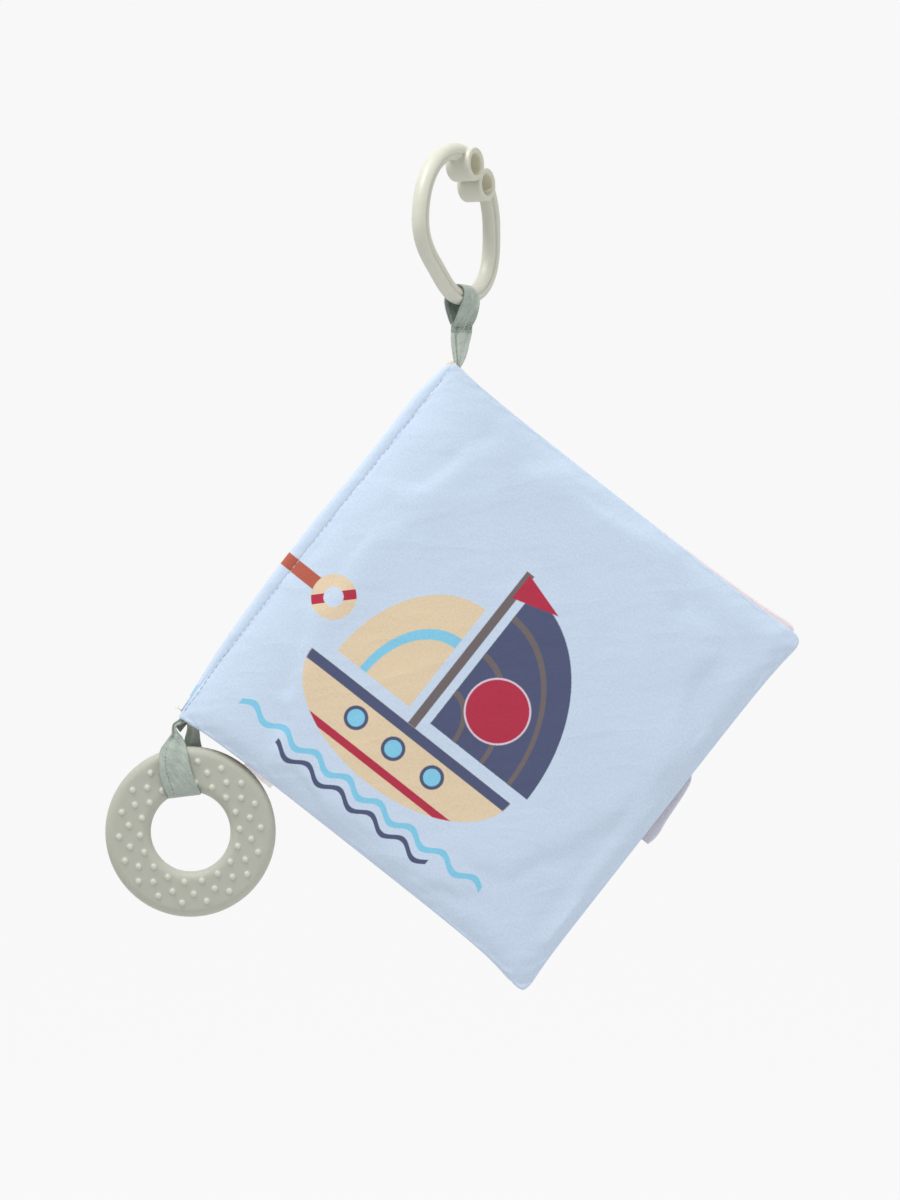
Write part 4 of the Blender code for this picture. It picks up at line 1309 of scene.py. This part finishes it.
# %% Teether ribbon
# Each side from the book down to the hole: right of the strap's root, below it, width, how far in front, tilt
FRONT_RIBBON = (
    (-1.1, -1.9, 2.6, 0.5, -62), (-3.1, -0.75, 2.2, 1.3, -60), (-4.9, 0.45, 1.8, 2.1, -46), (-4.75, 2.4, 2.8, 2.7, -22),
    (-4.1, 4.1, 4.2, 3.1, -12), (-4.45, 6.6, 7.2, 3.9, -5), (-5.2, 9.6, 10.1, 5.3, 3),
    (-5.0, 12.85, 10.9, 6.2, 7), (-4.57, 16.25, 11.6, 6.5, 8),
    (-3.87, 19.65, 12.1, 6.5, 7), (-2.67, 23.05, 12.2, 6.3, 7), (-1.27, 25.85, 12.2, 5.6, 7),
)
BACK_RIBBON = (
    (0.63, -2.15, 2.8, -0.4, 30), (1.6, 0.85, 4.6, -1.0, 24), (1.5, 3.75, 5.5, -2.2, 14), (1.3, 6.65, 6.3, -3.6, 4),
    (1.15, 9.65, 7.8, -5.2, 2), (0.73, 12.85, 9.4, -6.2, 4),
    (0.03, 16.25, 11.0, -6.5, 5), (-0.57, 19.65, 12.0, -6.5, 6),
    (-1.07, 23.05, 12.2, -6.3, 7), (-1.27, 25.85, 12.2, -5.6, 7),
)
RIBBON_STEPS = 60
FOLD_STEPS = 12
FOLD_DROP = 1.0
RIBBON_WIDTH = 12.2


def ribbon_side(knots, side):
    values = spline(knots, RIBBON_STEPS)
    run = []
    for i, (x, down, width, ahead, tilt) in enumerate(values):
        before, after = values[max(0, i - 1)], values[min(len(values) - 1, i + 1)]
        along = Vector((after[0] - before[0], -(after[3] - before[3]), -(after[1] - before[1]))).normalized()
        across = level(0, tilt)
        out = along.cross(across).normalized()
        out = out if out.y * side < 0 else -out
        centre = STRAP_ROOT + Vector((x, -ahead, -down)) * MM
        run.append((centre, across, out, width, 0.26 * side, down))
    return run


def ribbon_stations():
    front, back = ribbon_side(FRONT_RIBBON, 1), ribbon_side(BACK_RIBBON, -1)
    across = front[-1][1]
    middle = (front[-1][0] + back[-1][0]) / 2
    depth = abs(front[-1][0].y - middle.y)
    fold = []
    for i in range(1, FOLD_STEPS):
        angle = math.pi * i / FOLD_STEPS
        out = Vector((0, -math.cos(angle), -math.sin(angle) * 0.9)).normalized()
        centre = middle + Vector((0, -depth * math.cos(angle), -FOLD_DROP * MM * math.sin(angle)))
        fold.append((centre, across, out, RIBBON_WIDTH, 0.0, FRONT_RIBBON[-1][1]))
    return front + fold + back[::-1]


def ribbon_pleat(share, down):
    """Soft waves, and a sharper fold near the left edge where the ribbon leaves the book."""
    waves = math.sin(8 * share + 0.25 * down) * 0.7 + 1.6 * noise.noise(Vector((share * 2.6, down * 0.11 + share, 2.7)))
    fold = 2.6 * math.exp(-(((share + 0.22) / 0.09) ** 2)) * ease((9 - down) / 5) * ease((down + 1) / 3)
    leaning = (share - 0.05 - (down - 12) * 0.03) / 0.07
    fold += 1.3 * math.exp(-(leaning**2)) * ease((17 - down) / 5) * ease((down - 7) / 3)
    return waves * ease((24 - down) / 6) - fold


ribbon, ribbon_length = folded_strip("teether_ribbon", ribbon_stations(), ribbon_pleat, [SAGE_RIBBON])

# %% The inside of the ribbon's turn, in painted shade
# Three corners of the part that faces away from the light: right of the root, in front, below
TURN_CORNERS = ((-5.0, 1.6, 0.2), (0.1, 0.6, -0.7), (-2.9, 1.2, 3.1))
TURN_ROWS = 8


def turn_solid():
    """A thin triangle of ribbon between the front side's fold and the book's corner, in a dark material that paints the
    shade there.
    """
    left, right, low = [STRAP_ROOT + Vector((x, -ahead, -down)) * MM for x, ahead, down in TURN_CORNERS]
    rings = []
    for i in range(TURN_ROWS + 1):
        share = 0.94 * i / TURN_ROWS
        a, b = left.lerp(low, share), right.lerp(low, share)
        front = [a.lerp(b, k / TURN_ROWS) for k in range(TURN_ROWS + 1)]
        rings.append(front + [p + THROUGH * (PLY * MM) for p in front[::-1]])
    points = ring_points(rings)
    faces = skin(rings)
    flat = [((p - left).dot(ALONG_TOP) / MM, (p - left).dot(DOWN_SPINE) / MM) for p in points]
    return outward(
        new_piece("ribbon_turn", points, faces, [SAGE_RIBBON, RIBBON_PAINTED_SHADE], [1] * len(faces), flat)
    )


turn_piece = turn_solid()
ribbon.data.materials.append(RIBBON_PAINTED_SHADE)
both = bmesh.new()
both.from_mesh(ribbon.data)
both.from_mesh(turn_piece.data)
both.to_mesh(ribbon.data)
both.free()
bpy.data.objects.remove(turn_piece)
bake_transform(ribbon)
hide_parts("teether_strap")

# %% [markdown]
# ## Tab and label
#
# A folded tab stands out of the page's fore edge to help a small hand turn it, and a short blank
# label stands out of the back cover's bottom seam. Both are a folded piece of cloth whose ends
# are caught between the panels.

# %% Tab and label
TAB_TOP, TAB_LENGTH = 64.4, 31.8
# How far the tab's fold stands out of the cover's fore edge, at even steps down it
TAB_STANDS = (0.2, 2.2, 2.9, 3.3, 3.6, 3.8, 4.0, 4.3, 4.8, 4.8, 4.1)
TAB_IN_SEAM = 5.0


def folded_flap(name, edge, reaches, start, length, middle, ply, materials, facing):
    """A folded flap that stands `reaches` out of an edge. Facing is "fore" or "foot"."""
    steps = 40
    outs = [float(v) for v in spline(reaches, steps + 1)]
    rings, flat = [], []
    for i, out in enumerate(outs):
        along = start + length * i / steps
        inner = edge(along) - TAB_IN_SEAM
        full = out + TAB_IN_SEAM
        ripple = 0.3 * math.sin(along * 0.42) + 0.6 * math.exp(-(((along - start - 0.6 * length) / 1.1) ** 2))
        section = []
        runs = 10
        gap = ply * 0.2
        for k in range(runs):
            section.append((full * k / (runs - 1) - (ply if k == runs - 1 else 0), -ply - gap))
        section += [(full - ply * 0.3, -ply * 0.7), (full, 0), (full - ply * 0.3, ply * 0.7)]
        for k in range(runs):
            section.append((full - ply - (full - ply) * k / (runs - 1), ply + gap))
        for k in range(runs):
            section.append(((full - ply * 1.2) * k / (runs - 1), gap))
        for k in range(runs):
            section.append(((full - ply * 1.2) * (1 - k / (runs - 1)), -gap))
        ring = []
        for k, (a, h) in enumerate(section):
            wave = ripple * ease((a - TAB_IN_SEAM) / 4)
            if facing == "fore":
                ring.append(on_book(inner + a, middle + h + wave, along))
            else:
                ring.append(on_book(along, middle + h + wave, inner + a))
            flat.append((along, a if h < 0 else 2 * full - a))
        rings.append(ring)
    return outward(new_piece(name, ring_points(rings), skin(rings), materials, None, flat))


def fore_edge(down):
    return outline(LEAVES["page"], 1.0, down / BOOK_HEIGHT)[0]


def foot_edge(across):
    return outline(LEAVES["back_cover"], across / BOOK_WIDTH, 1.0)[1]


reaches = [PAGE_NARROWER + stand for stand in TAB_STANDS]
tab = folded_flap("page_tab", fore_edge, reaches, TAB_TOP, TAB_LENGTH, 0.0, 0.5, [TAB_CLOTH], "fore")
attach(tab, "page")
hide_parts("fore_edge_tab")

LABEL_START, LABEL_WIDTH = 29.7, 13.4
label = folded_flap(
    "blank_label", foot_edge, (2.9,) * 4, LABEL_START, LABEL_WIDTH, LEAF_PITCH, 0.18, [LABEL_RIBBON], "foot"
)
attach(label, "back_cover")
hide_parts("care_label")

# %% [markdown]
# ## Stitches
#
# A stitch shows as a short raised thread with a small dip at each end. Geometry Nodes resample a
# line to the stitch pitch and put one small rounded thread on each point, turned along the line.

# %% Stitch tree
def stitch_tree(thread):
    """Threads along a curve: inputs are the pitch, the length and the thickness of a stitch."""
    tree = bpy.data.node_groups.new("stitches", "GeometryNodeTree")
    tree.interface.new_socket("Geometry", in_out="INPUT", socket_type="NodeSocketGeometry")
    for name in ("Pitch", "Length", "Radius"):
        tree.interface.new_socket(name, in_out="INPUT", socket_type="NodeSocketFloat")
    tree.interface.new_socket("Geometry", in_out="OUTPUT", socket_type="NodeSocketGeometry")
    build = Surface(tree)
    build.add("NodeGroupInput")
    line, pitch, length, radius = [Wire(build, socket) for socket in build.last.outputs[:4]]
    curve = build.add("GeometryNodeMeshToCurve", None, {0: line})
    spots = build.add("GeometryNodeResampleCurve", {"mode": "LENGTH"}, {"Curve": curve, "Length": pitch})
    tangent = build.add("GeometryNodeInputTangent")
    turn = build.add("FunctionNodeAlignRotationToVector", {"axis": "Z"}, {"Vector": tangent})
    bead = build.add("GeometryNodeMeshUVSphere", None, {"Segments": 8, "Rings": 6, "Radius": radius})
    stretch = build.join(1.0, 1.0, length / (radius * 2))
    long_bead = build.add("GeometryNodeTransform", None, {"Geometry": bead, "Scale": stretch})
    placed = build.add(
        "GeometryNodeInstanceOnPoints", None, {"Points": spots, "Instance": long_bead, "Rotation": turn}
    )
    real = build.add("GeometryNodeRealizeInstances", None, {0: placed})
    painted = build.add("GeometryNodeSetMaterial", None, {"Geometry": real, "Material": thread})
    build.add("NodeGroupOutput", None, [painted])
    return tree


def stitches(name, path, pitch, length, radius, thread):
    """A row of stitches along a path of points, as a plain mesh."""
    mesh = bpy.data.meshes.new(name + "_line")
    mesh.from_pydata([tuple(p) for p in path], [(i, i + 1) for i in range(len(path) - 1)], [])
    line = bpy.data.objects.new(name + "_line", mesh)
    bpy.context.scene.collection.objects.link(line)
    sewing = line.modifiers.new("sewing", "NODES")
    sewing.node_group = stitch_tree(thread)
    values = {"Pitch": pitch * MM, "Length": length * MM, "Radius": radius * MM}
    for item in sewing.node_group.interface.items_tree:
        if item.name in values and item.in_out == "INPUT":
            sewing[item.identifier] = values[item.name]
    made = evaluated_copy(line, name)
    made.data.shade_smooth()
    print(name, triangles(made), "triangles")
    return made


# %% Lay threads on the cloth
def laid_on(pieces, points, towards, lift):
    """Points moved on to the nearest of some pieces along a direction, and lifted a little off it."""
    laid = []
    trees = [
        BVHTree.FromPolygons([v.co for v in p.data.vertices], [f.vertices for f in p.data.polygons])
        for p in pieces
    ]
    for point in points:
        start = point - towards * 0.05
        hits = [tree.ray_cast(start, towards) for tree in trees]
        hits = [hit for hit in hits if hit[0] is not None]
        if hits:
            nearest = min(hits, key=lambda hit: hit[3])
            laid.append(nearest[0] - towards * (lift * MM))
    return laid


# %% Sew the spine
for name, towards in (("spine_stitches", THROUGH), ("spine_stitches_back", -THROUGH)):
    # The row leaves the fold near the foot and runs down on the cover, because the fold narrows there
    row_downs = np.linspace(2.6, BOOK_HEIGHT - 2.6, 160)
    line = [on_book(STITCH_AT - 0.1 + 1.1 * ease((d - 138) / 24), 0, d) for d in row_downs]
    leaf = leaves["front_cover" if towards.y > 0 else "back_cover"]
    row = stitches(name, laid_on([spine, leaf], line, towards, 0.08), 2.45, 1.8, 0.15, BLUE_THREAD)
    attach(row, "book")

# %% Sew the bar tack
TACK_ROWS = 2
ZIGZAG = 0.8


def tack_line(row):
    """A zigzag across the strap, in mm from the seat."""
    drop = TACK_FROM + (TACK_TO - TACK_FROM) * (row + 0.5) / TACK_ROWS
    turns = []
    for i in range(15):
        x = 0.25 + STRAP_WIDTH * 0.97 * (i / 14 - 0.5)
        rise = 0.55 * (-1) ** i + 0.3 * noise.noise(Vector((x, drop * 2.0, 1.0)))
        turns.append(SEAT + Vector((x, 0, rise - drop)) * MM)
    return [a.lerp(b, k / 5) for a, b in zip(turns, turns[1:]) for k in range(5)] + turns[-1:]


for side, towards in (("front", THROUGH), ("back", -THROUGH)):
    for number in range(TACK_ROWS):
        line = laid_on([hang_strap], tack_line(number), towards, 0.16)
        row = stitches(f"bar_tack_{side}_{number + 1}", line, ZIGZAG, 0.85, 0.19, TACK_THREAD)
        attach(row, "strap")

# %% Topstitch the ribbon's open edge
EDGE_STITCHES = ((-7.67, 9.25), (-8.17, 12.65), (-7.77, 16.45), (-6.77, 20.45), (-5.57, 23.95), (-5.07, 25.65))
edge_line = [STRAP_ROOT + Vector((x, 0, -down)) * MM for x, down in spline(EDGE_STITCHES, 60)]
row = stitches("ribbon_stitches", laid_on([ribbon], edge_line, THROUGH, 0.05), 1.5, 0.95, 0.16, SAGE_THREAD)
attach(row, "lower_strap")

# %% Loose thread ends
# The stitching's cut ends stand out at the foot of the spine, a few short curls of thread.
THREAD_ENDS = (
    ((-1.0, 0.0, 165.6), (-2.2, -0.3, 165.4), (-3.0, -0.2, 165.7), (-3.7, 0.1, 166.4)),
    ((-1.2, 0.2, 165.2), (-2.4, 0.3, 165.3), (-3.0, 0.4, 165.1), (-3.4, 0.3, 164.6)),
    ((0.3, 0.0, 166.4), (0.5, -0.4, 167.4), (0.5, -0.6, 168.0), (0.3, -0.5, 168.5)),
)
THREAD_HALF = 0.11


def thread_end(number, knots):
    path = [on_book(*spot) for spot in spline(knots, 14)]
    rings = []
    for i, point in enumerate(path):
        along = (path[min(i + 1, len(path) - 1)] - path[max(i - 1, 0)]).normalized()
        side = along.orthogonal().normalized()
        other = along.cross(side)
        half = THREAD_HALF * MM * (1 - 0.5 * i / len(path))
        thread_turns = np.linspace(0, 2 * math.pi, 7)[:-1]
        rings.append([point + (side * math.cos(a) + other * math.sin(a)) * half for a in thread_turns])
    piece = new_piece(f"thread_end_{number}", ring_points(rings), skin(rings), [CREAM_THREAD])
    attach(outward(piece), "book")


for number, knots in enumerate(THREAD_ENDS):
    thread_end(number + 1, knots)
